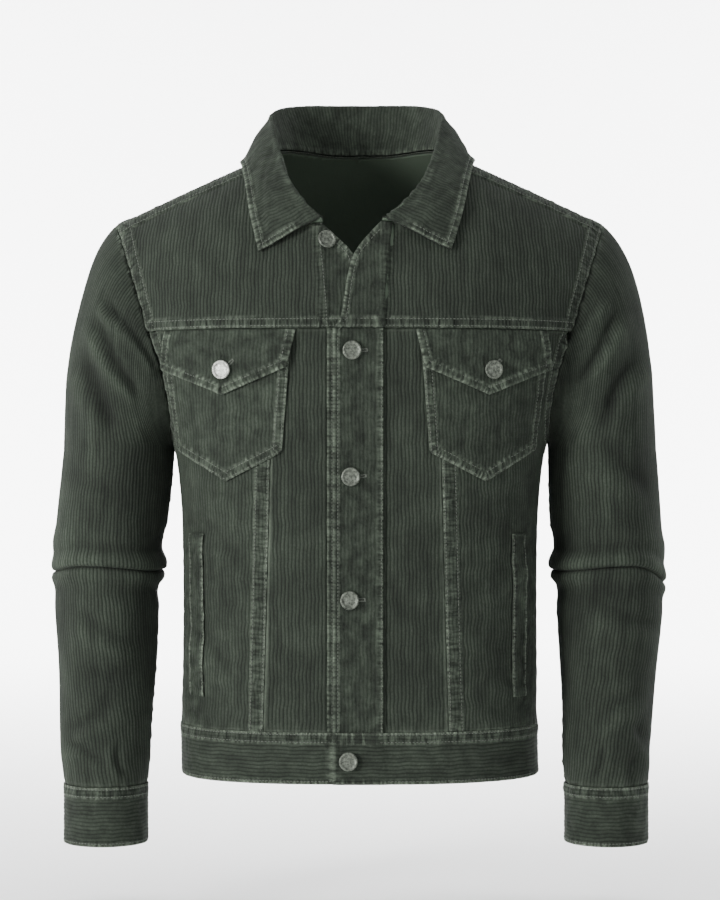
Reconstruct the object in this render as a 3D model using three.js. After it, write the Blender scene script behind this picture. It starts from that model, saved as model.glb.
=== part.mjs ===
// A corduroy trucker jacket that keeps the shape of a body with nobody in it: two yoked fronts that button
// left over right, a back with its yoke, side panels, a folded collar, a waistband, two set-in sleeves with
// cuffs, two chest pockets with pointed flaps, two hand pocket welts and seven shank buttons.
// Millimetres. +Z is up, the front faces -Y and +X is the wearer's left. The origin lies midway between the
// shoulders, where the wearer carries the jacket.

import * as THREE from "three";

// Cloth
const CLOTH = 1.6; // one layer of corduroy
const BAND = 3.0; // a doubled band: waistband, cuffs, placket and collar
const SEAM = 0.4; // gap between two pieces that are sewn edge to edge
const LAP = 0.4; // gap under a piece that lies on another
const POCKET_LAP = 0.6; // and under the pockets, which reach round to where the chest turns

// Torso, from the hem up: half width at the sides, and how far the front and the back stand from the middle
const TORSO = [
  { z: -572, half: 177, front: 117, back: 109 },
  { z: -519, half: 177, front: 116, back: 107 },
  { z: -440, half: 176, front: 113, back: 102 },
  { z: -360, half: 176, front: 114, back: 103 },
  { z: -300, half: 178, front: 118, back: 108 },
  { z: -250, half: 184, front: 121, back: 113 },
  { z: -200, half: 197, front: 123, back: 117 },
  { z: -134, half: 222, front: 121, back: 119 },
  { z: -100, half: 234, front: 118, back: 119 },
];
const SQUARENESS = 2.6; // 2 would be an ellipse: the chest is flatter and turns sooner at the sides

// Heights of the seams that run round the body
const HEM_Z = -568.5;
const WAIST_Z = -519; // top of the waistband
const WAIST_PROUD = 1; // how far the waistband stands out from the panels
const FRONT_YOKE_Z = -134;
const BACK_YOKE_Z = -110;
const UNDERARM_Z = -240;

// Shoulders: a yoke rises from its seam, lift 0 in front or 180 behind, to the ridge at lift 90
const ARMHOLE_LOW_X = 206; // half width across the armholes at the yoke seams
const ARMHOLE_TOP_X = 242; // and at the shoulder points
const RIDGE = { y: 3, peak: 92, slope: 0.475, soften: 40 };
const FRONT_ROUNDNESS = 1.9;
const BACK_ROUNDNESS = 2.5;
const FRONT_SEAM_LIFT = 0.15; // lifts that leave a seam's gap above the panels
const BACK_SEAM_LIFT = 179.98;
const SHOULDER_SEAM_GAP = 0.12;
const YOKE_EDGE = 2.2; // the front yokes are lapped: their folded edge stands out over pockets and flaps

// Neckline
const NECK_X = 84; // half width on the ridge
const NECK_BACK_LIFT = 122; // its lowest place at the centre back
const NECK_FRONT_LIFT = 31; // where the collar ends at the front edges
const NECK_STEPS = 20; // sections of the collar on each side, the yokes' edges share its corners
const NECK_SHARE_BEHIND = 0.45; // share of each half of the neck seam that lies behind the ridge
const SHOULDER_SEAM_SHARE = 0.55; // where the shoulder seams meet it, a little in front of the ridge

// The two fronts. The wearer's left lies over the right, and its trims stand nearer to the centre.
const FRONTS = [
  { name: "right", sign: -1, neckEnd: 35, neckCurve: 0.33, trimShift: 0, lean: -3, over: false },
  { name: "left", sign: 1, neckEnd: 20, neckCurve: 0.26, trimShift: -8, lean: 4.5, over: true },
];
const OVER_EDGE_X = -26; // the buttoned edge of the left front
const OVER_SEAM_X = 22; // where its placket is sewn to the panel
const PANEL_UNDER_PLACKET = 5; // how far the panel runs on under it
const UNDER_EDGE_X = 15; // hidden edge of the right front's button stand
const UNDER_SEAM_X = -32;
// Front edges above the first fastened button, as the neck opens: x of each edge, in wearer's coordinates
const OPEN_EDGES = [
  { z: -134, over: -25, under: 15 },
  { z: -125, over: -19, under: 12 },
  { z: -103, over: -15, under: 5 },
  { z: -81, over: -11.5, under: -1 },
  { z: -60, over: -5, under: -7 },
  { z: -45, over: 6, under: -20 },
  { z: -28, over: 20, under: -35 },
];

// Seams between the centre and side front panels, for the wearer's right
const PANEL_SEAM = [
  { z: -520, x: 93 },
  { z: -264, x: 86 },
  { z: -134, x: 82 },
];

// Chest pockets and flaps, for the wearer's right: x of the inner and outer edges
const POCKET = {
  top: -148,
  innerX: [66, 74],
  innerFoot: -252,
  tipX: 128,
  tip: -280,
  outerX: [190, 177],
  outerFoot: -250,
};
const FLAP = {
  top: -135,
  innerX: [61, 69],
  innerFoot: -171,
  tipX: 130,
  tip: -197,
  outerX: [188, 190],
  outerFoot: -171,
};

// Hand pocket welts, for the wearer's right
const WELT = { top: -331, foot: -489, outerX: 165, innerX: 151 };

// Sleeve of the wearer's left arm below the armhole: middle, half width and half depth of each ring
const SLEEVE = [
  { z: -577, x: 246.5, y: -41, half: 40.5, deep: 42 },
  { z: -560, x: 247, y: -36, half: 42.5, deep: 44 },
  { z: -497, x: 248.5, y: -24, half: 46, deep: 49 },
  { z: -419, x: 250, y: -10, half: 51.8, deep: 55 },
  { z: -367, x: 249.5, y: -2, half: 54, deep: 59 },
  { z: -330, x: 248, y: 2, half: 55, deep: 62 },
  { z: -280, x: 243.5, y: 4, half: 55, deep: 65 },
  { z: -250, x: 241.5, y: 5, half: 54.5, deep: 66 },
];
const BICEPS_Z = -250;
const SLEEVE_FOOT_Z = -576;
const CUFF_FOOT_Z = -632;
const CUFF_PROUD = 0.8; // how far the doubled cuff stands out from the sleeve
const CUFF_SWING = { x: -0.02, y: -0.19 }; // the forearm swings forward: middle's move per millimetre down
const SLEEVE_SEAM = 1.3; // the sleeve stands this far out from the armhole's edge, clear of its corners
const CAP_PULL = 0.74; // how far the sleeve cap runs on in the shoulder's direction before it turns down
const CAP_AIM = { x: 0.53, swing: 0.22, y: -0.3 }; // that direction: outward, more so at the top, and ahead
const CAP_ROWS = [0, 0.08, 0.2, 0.34, 0.5, 0.66, 0.82]; // rows of the cap, from the armhole to the biceps
const ARM_ROWS = { above: [-250, -280, -306], elbow: [-328, -396], below: [-415, -450, -490, -530] };

// Folds that run round a sleeve at the elbow: height in front, how much lower they run at the sides, and how
// far each stands out at the outer, front, inner and back side
const ELBOW_FOLDS = [
  { z: -338, fall: 5, width: 12, outer: 2.5, front: 2, inner: -3, back: 1 },
  { z: -352, fall: 8, width: 8, outer: 1.5, front: 3.5, inner: 3, back: 1.5 },
  { z: -363, fall: 10, width: 5, outer: -3, front: -4.5, inner: -2.5, back: -2.5 },
  { z: -373, fall: 8, width: 8, outer: 3, front: 1, inner: 3.5, back: 2 },
  { z: -390, fall: 4, width: 11, outer: 0, front: -1, inner: -2.5, back: -1 },
];
// Creases that run in a line over the cloth, given from the front or from behind, for the wearer's right side
const CREASES = [
  { side: "front", x0: 258, z0: -112, x1: 202, z1: -172, width: 8, rise: 3.5 },
  { side: "front", x0: 250, z0: -104, x1: 206, z1: -156, width: 7, rise: -4 },
  { side: "front", x0: 276, z0: -132, x1: 224, z1: -200, width: 8, rise: 3 },
  { side: "front", x0: 268, z0: -140, x1: 214, z1: -208, width: 8, rise: -3 },
  { side: "front", x0: 280, z0: -560, x1: 262, z1: -520, width: 7, rise: 2 },
  { side: "front", x0: 176, z0: -352, x1: 112, z1: -362, width: 12, rise: 2.2 },
  { side: "front", x0: 176, z0: -388, x1: 104, z1: -396, width: 12, rise: -2.2 },
  { side: "front", x0: 172, z0: -432, x1: 110, z1: -444, width: 13, rise: 2 },
  { side: "front", x0: 170, z0: -478, x1: 120, z1: -470, width: 11, rise: -2 },
  { side: "back", x0: 262, z0: -110, x1: 206, z1: -176, width: 9, rise: 3.5 },
  { side: "back", x0: 250, z0: -140, x1: 210, z1: -200, width: 9, rise: -3 },
  { side: "back", x0: 168, z0: -344, x1: 70, z1: -366, width: 14, rise: 2.5 },
  { side: "back", x0: 172, z0: -404, x1: 84, z1: -392, width: 14, rise: -2.5 },
  { side: "back", x0: 168, z0: -452, x1: 60, z1: -462, width: 14, rise: 2.2 },
];

// Collar, for the wearer's left half: g runs from the centre back, 0, to the front end, 1
const ROLL = [
  { g: 0, x: 0, y: 84, z: 108 },
  { g: 0.18, x: 45, y: 75, z: 106.5 },
  { g: 0.32, x: 75, y: 54, z: 101 },
  { g: 0.44, x: 86, y: 26, z: 90 },
  { g: 0.54, x: 84, y: -3, z: 75 },
  { g: 0.66, x: 77, y: -41, z: 46 },
  { g: 0.78, x: 65, y: -78, z: 13 },
  { g: 0.9, x: 46, y: -99, z: -12 },
  { g: 1, x: 29, y: -106, z: -26 },
];
const LEAF_EDGE = [
  { g: 0, x: 0, lift: 133 },
  { g: 0.18, x: 54, lift: 129 },
  { g: 0.34, x: 98, lift: 112 },
  { g: 0.48, x: 114, lift: 88 },
  { g: 0.6, x: 112, lift: 70 },
  { g: 0.72, x: 107, lift: 54 },
  { g: 0.84, x: 102, lift: 41 },
  { g: 0.94, x: 95, lift: 30 },
  { g: 1, x: 91.5, lift: 25.5 },
];
const COLLAR_SHIFT = { sides: 3, ends: 4 }; // the open neck carries the collar towards the wearer's right
const LEAF_LIFT = 4; // how far the leaf's middle layer stands off the cloth under it
const LEAF_BULGE = 5;
const FOLD_RADIUS = 5;
const NECK_SEAM = 1.3; // the stand rises this far above the yokes' edges, clear of their corners

// Buttons
const BUTTON = { radius: 9, cap: 2.6, shank: 3.4, stand: 1.4 };
const FRONT_BUTTON_Z = [-155.6, -275, -393, -546]; // the fastened ones, the last on the waistband
const FRONT_BUTTON_X = { top: -7.5, foot: -11 };
const NECK_BUTTON = { x: -32, z: -50, height: 0.3 };
const FLAP_BUTTON_Z = -173;
const FLAP_BUTTON_HEIGHT = 5.3; // of the flap over the panel there

const COLOURS = { cloth: 0x3a403a, inside: 0x22271f, metal: 0x8c9088 };
const material = (color, roughness, metalness) =>
  new THREE.MeshStandardMaterial({ color, roughness, metalness });
const clothMaterial = () => material(COLOURS.cloth, 0.95, 0);
const metalMaterial = () => material(COLOURS.metal, 0.45, 0.8);

const radians = (degrees) => (degrees * Math.PI) / 180;
const degrees = (angle) => (angle * 180) / Math.PI;
const mix = (a, b, t) => a + (b - a) * t;
const clamp = (x, low, high) => Math.min(Math.max(x, low), high);
const ease = (t) => clamp(t, 0, 1) ** 2 * (3 - 2 * clamp(t, 0, 1));
const signedPower = (x, power) => Math.sign(x) * Math.abs(x) ** power;
// Evenly spaced numbers, both ends included.
const steps = (count, from = 0, to = 1) =>
  Array.from({ length: count + 1 }, (_, i) => mix(from, to, i / count));

// Reads one column of a table between its rows, on a smooth curve through them.
function readTable(rows, key, column, at) {
  const last = rows.length - 1;
  const x = clamp(at, rows[0][key], rows[last][key]);
  let i = 0;
  while (i < last - 1 && x > rows[i + 1][key]) i += 1;
  const slope = (k) => {
    const before = rows[Math.max(k - 1, 0)];
    const after = rows[Math.min(k + 1, last)];
    return (after[column] - before[column]) / (after[key] - before[key]);
  };
  const span = rows[i + 1][key] - rows[i][key];
  const t = (x - rows[i][key]) / span;
  const start = rows[i][column] * (1 + 2 * t) * (1 - t) ** 2 + span * slope(i) * t * (1 - t) ** 2;
  const end = rows[i + 1][column] * t * t * (3 - 2 * t) + span * slope(i + 1) * t * t * (t - 1);
  return start + end;
}

// Torso surface. turn is in degrees from the centre front towards the wearer's left, 180 at the centre back.
function torsoPoint(turn, z) {
  const across = Math.sin(radians(turn));
  const ahead = Math.cos(radians(turn));
  const depth = readTable(TORSO, "z", ahead > 0 ? "front" : "back", z);
  const x = readTable(TORSO, "z", "half", z) * signedPower(across, 2 / SQUARENESS);
  return new THREE.Vector3(x, -depth * signedPower(ahead, 2 / SQUARENESS), z);
}

// The turn at which the front of the torso has this x.
function turnAt(x, z) {
  const share = clamp(Math.abs(x) / readTable(TORSO, "z", "half", z), 0, 1);
  return Math.sign(x) * degrees(Math.asin(share ** (SQUARENESS / 2)));
}

const ridgeZ = (x) => RIDGE.peak - RIDGE.slope * Math.hypot(x, RIDGE.soften);
const armholeX = (lift) => mix(ARMHOLE_LOW_X, ARMHOLE_TOP_X, Math.sin(radians(lift)));

// Shoulder surface. across is -1 to 1 from armhole to armhole, and lift is in degrees over the shoulder.
function shoulderPoint(across, lift) {
  const inFront = lift < 90;
  const q = radians(inFront ? lift : 180 - lift);
  const seamZ = inFront ? FRONT_YOKE_Z : BACK_YOKE_Z;
  const power = 2 / (inFront ? FRONT_ROUNDNESS : BACK_ROUNDNESS);
  const turn = turnAt(across * ARMHOLE_LOW_X, seamZ);
  const foot = torsoPoint(inFront ? turn : 180 - turn, seamZ);
  const x = across * armholeX(lift);
  const y = mix(RIDGE.y, foot.y, Math.abs(Math.cos(q)) ** power);
  return new THREE.Vector3(x, y, mix(seamZ, ridgeZ(x), Math.sin(q) ** power));
}

const shoulderAtX = (x, lift) => shoulderPoint(x / armholeX(lift), lift);

// Lift at which the front of the shoulder surface reaches a height, at a given x.
function liftAt(x, z) {
  const rise = clamp((z - FRONT_YOKE_Z) / (ridgeZ(x) - FRONT_YOKE_Z), 0, 1);
  return degrees(Math.asin(rise ** (FRONT_ROUNDNESS / 2)));
}

// Any point of the front, by its x and height.
const frontPoint = (x, z) => (z > FRONT_YOKE_Z ? shoulderAtX(x, liftAt(x, z)) : torsoPoint(turnAt(x, z), z));

// Turn of the armhole below a yoke seam: a quarter ellipse on the torso that ends at the underarm.
function armholeTurn(z, inFront) {
  const seamZ = inFront ? FRONT_YOKE_Z : BACK_YOKE_Z;
  const start = turnAt(ARMHOLE_LOW_X, seamZ);
  const down = clamp((seamZ - z) / (seamZ - UNDERARM_Z), 0, 1);
  const turn = mix(90, start, Math.sqrt(1 - down * down));
  return inFront ? turn : 180 - turn;
}

// Lift of the neck seam along a half of the collar: 0 at the centre back and 1 at its front end.
function neckLift(half) {
  if (half < NECK_SHARE_BEHIND) return mix(NECK_BACK_LIFT, 90, (half / NECK_SHARE_BEHIND) ** 2.2);
  return mix(NECK_FRONT_LIFT, 90, ((1 - half) / (1 - NECK_SHARE_BEHIND)) ** 1.2);
}

// Neckline: half width at a lift, on one side of the body.
function neckX(lift, front) {
  if (lift >= 90) return NECK_X * ((NECK_BACK_LIFT - lift) / (NECK_BACK_LIFT - 90)) ** (1 / 2.2);
  const t = clamp((lift - NECK_FRONT_LIFT) / (90 - NECK_FRONT_LIFT), 0, 1);
  return mix(front.neckEnd, NECK_X, t ** front.neckCurve);
}

// Folds
function creaseRise(p, facing) {
  let rise = 0;
  for (const c of CREASES) {
    if ((c.side === "front") !== facing < 0) continue;
    const along = new THREE.Vector2(c.x1 - c.x0, c.z1 - c.z0);
    const from = new THREE.Vector2(Math.abs(p.x) - c.x0, p.z - c.z0);
    const t = from.dot(along) / along.lengthSq();
    const away = Math.abs(from.cross(along)) / along.length();
    rise += c.rise * Math.exp(-((away / c.width) ** 2)) * ease(2.5 * t + 0.6) * ease(2.5 * (1 - t) + 0.6);
  }
  return rise * clamp(Math.abs(facing) * 2.5, 0, 1);
}

// Outward normals of a grid of points, with i going round to the wearer's left and j going up.
function gridNormals(grid, closed) {
  const count = grid.length;
  return grid.map((line, i) =>
    line.map((_, j) => {
      const next = closed ? grid[(i + 1) % count] : grid[Math.min(i + 1, count - 1)];
      const before = closed ? grid[(i + count - 1) % count] : grid[Math.max(i - 1, 0)];
      const round = next[j].clone().sub(before[j]);
      const up = line[Math.min(j + 1, line.length - 1)].clone().sub(line[Math.max(j - 1, 0)]);
      return round.cross(up).normalize();
    }),
  );
}

const moveOut = (grid, normals, distance) =>
  grid.map((line, i) => line.map((p, j) => p.clone().addScaledVector(normals[i][j], distance(i, j))));

function crease(grid, closed) {
  const normals = gridNormals(grid, closed);
  return moveOut(grid, normals, (i, j) => creaseRise(grid[i][j], normals[i][j].y));
}

// A wall of cloth over a grid of points: from low to high along the normals, closed all round.
function wall(name, grid, { low = -CLOTH, high = 0, closed = false, mirrored = false } = {}) {
  const asFunction = (value) => (typeof value === "function" ? value : () => value);
  const normals = gridNormals(grid, closed);
  const facing = mirrored ? -1 : 1;
  const lowAt = asFunction(low);
  const highAt = asFunction(high);
  const outer = moveOut(grid, normals, (i, j) => facing * highAt(i, j));
  const inner = moveOut(grid, normals, (i, j) => facing * lowAt(i, j));
  const columns = grid.length;
  const rows = grid[0].length;
  const positions = [...outer, ...inner].flatMap((line) => line.flatMap((p) => [p.x, p.y, p.z]));
  const index = [];
  const at = (layer, i, j) => (layer * columns + (i % columns)) * rows + j;
  const quad = (a, b, c, d) => index.push(...(mirrored ? [a, c, b, a, d, c] : [a, b, c, a, c, d]));
  for (let i = 0; i < columns - (closed ? 0 : 1); i += 1) {
    for (let j = 0; j < rows - 1; j += 1) {
      quad(at(0, i, j), at(0, i + 1, j), at(0, i + 1, j + 1), at(0, i, j + 1));
      quad(at(1, i, j), at(1, i, j + 1), at(1, i + 1, j + 1), at(1, i + 1, j));
    }
    quad(at(0, i, 0), at(1, i, 0), at(1, i + 1, 0), at(0, i + 1, 0));
    quad(at(0, i, rows - 1), at(0, i + 1, rows - 1), at(1, i + 1, rows - 1), at(1, i, rows - 1));
  }
  for (let j = 0; j < rows - 1 && !closed; j += 1) {
    const k = columns - 1;
    quad(at(0, 0, j), at(0, 0, j + 1), at(1, 0, j + 1), at(1, 0, j));
    quad(at(0, k, j), at(1, k, j), at(1, k, j + 1), at(0, k, j + 1));
  }
  const geometry = new THREE.BufferGeometry();
  geometry.setAttribute("position", new THREE.Float32BufferAttribute(positions, 3));
  geometry.setIndex(index);
  geometry.computeVertexNormals();
  const mesh = new THREE.Mesh(geometry, clothMaterial());
  mesh.name = name;
  return mesh;
}

const WELT_HEIGHTS = steps(7, WELT.foot, WELT.top);
const CHEST_HEIGHTS = [-305, -272]; // rows between the welts and the underarm

// A grid between two side edges given as functions of the row, for the rows asked for.
function panelGrid(columns, rows, leftOf, rightOf, pointAt) {
  return steps(columns).map((t) => rows.map((row) => pointAt(mix(leftOf(row), rightOf(row), t), row)));
}

// Heights for a panel that runs from the waist to a yoke seam, closest where the armhole turns under the arm.
function panelHeights(seamZ) {
  const beside = steps(6).map((t) => mix(seamZ - SEAM, UNDERARM_Z, Math.sin(t * Math.PI * 0.5)));
  return [WAIST_Z + SEAM, ...WELT_HEIGHTS, ...CHEST_HEIGHTS, ...beside.reverse()];
}

const seamX = (front, z) => readTable(PANEL_SEAM, "z", "x", z) + front.trimShift;
const seamTurn = (z) => degrees(SEAM / readTable(TORSO, "z", "front", z)); // turn that a seam's gap takes

// Left to right order for a pair of limits, whichever side of the body they are on.
const ordered = (a, b) => [Math.min(a, b), Math.max(a, b)];

function centrePanel(front) {
  const inner = (z) => turnAt(front.over ? OVER_SEAM_X - PANEL_UNDER_PLACKET : UNDER_SEAM_X, z);
  const outer = (z) => front.sign * (turnAt(seamX(front, z), z) - 1.5 * seamTurn(z));
  const [left, right] = front.sign > 0 ? [inner, outer] : [outer, inner];
  const rows = steps(11, WAIST_Z + SEAM, FRONT_YOKE_Z - SEAM);
  const grid = panelGrid(4, rows, left, right, torsoPoint);
  return wall(`front_centre_${front.name}`, crease(grid));
}

function sidePanel(front) {
  const inner = (z) => front.sign * turnAt(seamX(front, z), z);
  const outer = (z) => front.sign * (armholeTurn(z, true) - seamTurn(z) / 2);
  const [left, right] = front.sign > 0 ? [inner, outer] : [outer, inner];
  const grid = panelGrid(12, panelHeights(FRONT_YOKE_Z), left, right, torsoPoint);
  return wall(`front_side_${front.name}`, crease(grid));
}

function backPanel() {
  const left = (z) => armholeTurn(z, false) + seamTurn(z) / 2;
  const grid = panelGrid(20, panelHeights(BACK_YOKE_Z), left, (z) => 360 - left(z), torsoPoint);
  return wall("back_panel", crease(grid));
}

// The left front lies over the right one, so its cloth steps out near the centre.
const overStep = (x) => (BAND + LAP) * ease((OVER_SEAM_X + 10 - x) / 16);

function frontYoke(front) {
  const inside = front.over ? "over" : "under";
  const innerX = (lift) => {
    const openZ = mix(FRONT_YOKE_Z, -28, lift / NECK_FRONT_LIFT);
    return lift < NECK_FRONT_LIFT ? readTable(OPEN_EDGES, "z", inside, openZ) : front.sign * neckX(lift, front);
  };
  const inner = (lift) => innerX(lift) / armholeX(lift);
  const outer = () => front.sign;
  const [left, right] = front.sign > 0 ? [inner, outer] : [outer, inner];
  const besideNeck = steps(9, 1, SHOULDER_SEAM_SHARE).map(neckLift);
  besideNeck[9] -= SHOULDER_SEAM_GAP;
  const lifts = [FRONT_SEAM_LIFT, 3.5, 9, 16, 24, ...besideNeck];
  const grid = crease(panelGrid(10, lifts, left, right, shoulderPoint));
  const step = (i, j) => (front.over ? overStep(grid[i][j].x) : 0);
  const uncovered = (x) => ease((-x - 26) / 8); // none of the edge under the other front
  const lapped = (x) => (front.over ? 1 - overStep(x) / 6 : uncovered(x));
  const edge = (i, j) => (j < 2 ? YOKE_EDGE * lapped(grid[i][j].x) * (1 - 0.2 * j) : 0);
  return wall(`front_yoke_${front.name}`, grid, {
    low: (i, j) => step(i, j) - CLOTH,
    high: (i, j) => step(i, j) + edge(i, j),
  });
}

// The back yoke is a horseshoe: each column runs to the neck from its outer edge, which goes round the
// armholes and along the back seam.
const BACK_YOKE_SHARES = [
  SHOULDER_SEAM_SHARE, 0.525, 0.5, 0.475, 0.45, 0.425, 0.4, 0.35, 0.3, 0.25, 0.2, 0.15, 0.1, 0.05, 0,
];
function backYoke() {
  const seam = neckLift(SHOULDER_SEAM_SHARE) + SHOULDER_SEAM_GAP;
  const corner = 8; // the column that runs to the lower end of the armhole
  const last = BACK_YOKE_SHARES.length - 1;
  const half = BACK_YOKE_SHARES.map((share, i) => ({
    neck: Math.max(neckLift(share), seam),
    lift: mix(seam, BACK_SEAM_LIFT, Math.min(i / corner, 1)),
    across: Math.min((last - i) / (last - corner), 1),
  }));
  const column = ({ neck, lift, across }, sign) => {
    const neckAcross = (sign * neckX(neck, FRONTS[1])) / armholeX(neck);
    return steps(4).map((t) => shoulderPoint(mix(sign * across, neckAcross, t), mix(lift, neck, t)));
  };
  const grid = [...half.slice(0, -1).map((c) => column(c, -1)), ...half.reverse().map((c) => column(c, 1))];
  return wall("back_yoke", crease(grid));
}

const atX = (x) => (z) => turnAt(x, z);

function placket() {
  const rows = steps(11, WAIST_Z + SEAM, FRONT_YOKE_Z - SEAM);
  const grid = crease(panelGrid(4, rows, atX(OVER_EDGE_X), atX(OVER_SEAM_X), torsoPoint));
  return wall("placket_left", grid, { low: LAP, high: LAP + BAND });
}

function buttonStand() {
  const rows = steps(11, WAIST_Z + SEAM, FRONT_YOKE_Z - SEAM);
  const grid = panelGrid(4, rows, atX(UNDER_SEAM_X + SEAM), atX(UNDER_EDGE_X), torsoPoint);
  return wall("button_stand_right", crease(grid));
}

// One strip from the buttoned end in front, round the wearer's left side and the back, to the hidden end.
function waistband() {
  const start = turnAt(OVER_EDGE_X, HEM_Z);
  const end = 360 + turnAt(UNDER_EDGE_X, HEM_Z);
  const turns = steps(44, start, end);
  const rows = [HEM_Z, mix(HEM_Z, WAIST_Z, 0.5), WAIST_Z - SEAM / 2];
  const grid = turns.map((turn) => rows.map((z) => torsoPoint(turn, z)));
  const high = (i) => WAIST_PROUD + (turns[i] < 90 ? overStep(grid[i][0].x) : 0);
  return wall("waistband", grid, { low: (i) => high(i) - BAND, high });
}

// A patch on the front between an inner and an outer edge, with a pointed foot. downs run from 0 at its top
// to 1 at its foot.
function pointedPatch(front, shape, columns, downs) {
  const foot = (t) => {
    const toTip = (shape.tipX - shape.innerX[1]) / (shape.outerX[1] - shape.innerX[1]);
    if (t < toTip) return mix(shape.innerFoot, shape.tip, t / toTip);
    return mix(shape.tip, shape.outerFoot, (t - toTip) / (1 - toTip));
  };
  const edge = (ends, down, z) => turnAt(mix(ends[0], ends[1], down) + front.trimShift, z);
  const column = (t) =>
    downs.map((down) => {
      const z = mix(shape.top, foot(columns.share(t)), down);
      const turn = mix(edge(shape.innerX, down, z), edge(shape.outerX, down, z), t);
      return torsoPoint(front.sign * turn, z);
    });
  const grid = steps(columns.count).map((t) => column(t).reverse());
  return crease(front.sign > 0 ? grid : grid.reverse());
}

const PATCH_COLUMNS = { count: 13, share: (t) => t * (1.16 - 0.16 * t) }; // share of the width at each column

function chestPocket(front) {
  const grid = pointedPatch(front, POCKET, PATCH_COLUMNS, steps(5));
  return wall(`chest_pocket_${front.name}`, grid, { low: POCKET_LAP, high: POCKET_LAP + CLOTH });
}

// The flap comes out from under the yoke, rises over the pocket's top and stands off a little at its point.
function pocketFlap(front) {
  const downs = [0, 0.2, 0.4, 0.7, 1];
  const grid = pointedPatch(front, FLAP, PATCH_COLUMNS, downs);
  const over = POCKET_LAP + CLOTH + LAP;
  const stand = [over + 0.8, over + 0.5, over + 0.2, over, LAP]; // from the point up
  const low = (i, j) => stand[j];
  const thick = (j) => (j === downs.length - 1 ? CLOTH - 0.3 : BAND - 0.6);
  return wall(`pocket_flap_${front.name}`, grid, { low, high: (i, j) => low(i, j) + thick(j) });
}

function handPocketWelt(front) {
  const edgeX = (x) => front.sign * (x + front.trimShift / 2);
  const [left, right] = ordered(edgeX(WELT.outerX), edgeX(WELT.innerX));
  const grid = crease(panelGrid(3, WELT_HEIGHTS, atX(left), atX(right), torsoPoint));
  return wall(`hand_pocket_welt_${front.name}`, grid, { low: LAP, high: LAP + CLOTH });
}

// Armhole of the wearer's left, from the shoulder point down the front to the underarm and up the back.
function armholeHalf(inFront) {
  const top = steps(20, 90, 0).map((lift) => shoulderPoint(1, inFront ? lift : 180 - lift));
  const seamZ = inFront ? FRONT_YOKE_Z : BACK_YOKE_Z;
  const low = steps(20)
    .slice(1)
    .map((t) => mix(seamZ, UNDERARM_Z, Math.sin(t * Math.PI * 0.5)))
    .map((z) => torsoPoint(armholeTurn(z, inFront), z));
  return new THREE.CatmullRomCurve3([...top, ...low]);
}
const armhole = { front: armholeHalf(true), back: armholeHalf(false) };
armhole.front.arcLengthDivisions = armhole.back.arcLengthDivisions = 400;

// round is 0 at the top of the sleeve, 0.25 in front, 0.5 under the arm and 0.75 behind.
function armholePoint(round) {
  return round <= 0.5 ? armhole.front.getPointAt(round * 2) : armhole.back.getPointAt((1 - round) * 2);
}

function sleeveRing(round, z, lean) {
  const read = (column) => readTable(SLEEVE, "z", column, z);
  const a = round * Math.PI * 2;
  const drop = clamp((BICEPS_Z - z) / (BICEPS_Z - SLEEVE_FOOT_Z), 0, 1);
  const x = read("x") - lean * drop + read("half") * Math.cos(a);
  return new THREE.Vector3(x, read("y") - read("deep") * Math.sin(a), z);
}

// Sleeve surface of the wearer's left: down is 0 at the armhole and 1 at the biceps, and 2 at the cuff seam.
function sleevePoint(round, down, lean) {
  if (down >= 1) return sleeveRing(round, mix(BICEPS_Z, SLEEVE_FOOT_Z, down - 1), lean);
  const start = armholePoint(round);
  start.x += SLEEVE_SEAM * (1.15 - 0.25 * Math.sin(round * Math.PI * 2));
  const end = sleeveRing(round, BICEPS_Z, lean);
  const reach = start.distanceTo(end);
  const a = round * Math.PI * 2;
  const outward = new THREE.Vector3(CAP_AIM.x + CAP_AIM.swing * Math.cos(a), CAP_AIM.y * Math.sin(a), 0);
  outward.z = -Math.sqrt(1 - outward.lengthSq());
  const downward = new THREE.Vector3(0, 0, -1);
  return start
    .multiplyScalar((1 + 2 * down) * (1 - down) ** 2)
    .addScaledVector(outward, reach * CAP_PULL * down * (1 - down) ** 2)
    .addScaledVector(end, down * down * (3 - 2 * down))
    .addScaledVector(downward, reach * down * down * (down - 1));
}

function elbowRise(round, z) {
  const a = round * Math.PI * 2;
  const share = { outer: Math.cos(a), front: Math.sin(a), inner: -Math.cos(a), back: -Math.sin(a) };
  return ELBOW_FOLDS.reduce((sum, fold) => {
    const rises = Object.keys(share).map((side) => fold[side] * Math.max(share[side], 0) ** 2);
    const middle = fold.z - fold.fall * share.outer ** 2;
    const rise = rises.reduce((total, part) => total + part, 0);
    return sum + rise * Math.exp(-(((z - middle) / fold.width) ** 2));
  }, 0);
}

const mirror = (grid) => grid.map((line) => line.map((p) => p.clone().setX(-p.x)));

function sleeve(front) {
  const rounds = steps(28).slice(0, -1);
  const elbow = steps(11, ...ARM_ROWS.elbow);
  const heights = [...ARM_ROWS.above, ...elbow, ...ARM_ROWS.below, SLEEVE_FOOT_Z + SEAM];
  const downs = [...CAP_ROWS, ...heights.map((z) => 1 + (BICEPS_Z - z) / (BICEPS_Z - SLEEVE_FOOT_Z))];
  const bare = rounds.map((round) => downs.map((down) => sleevePoint(round, down, front.lean)));
  const bareNormals = gridNormals(bare, true);
  const folded = moveOut(bare, bareNormals, (i, j) => {
    const settled = ease(downs[j] * 3);
    return elbowRise(rounds[i], bare[i][j].z) + settled * creaseRise(bare[i][j], bareNormals[i][j].y);
  });
  const grid = front.sign > 0 ? folded : mirror(folded);
  return wall(`sleeve_${front.name}`, grid, { closed: true, mirrored: front.sign < 0 });
}

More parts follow.
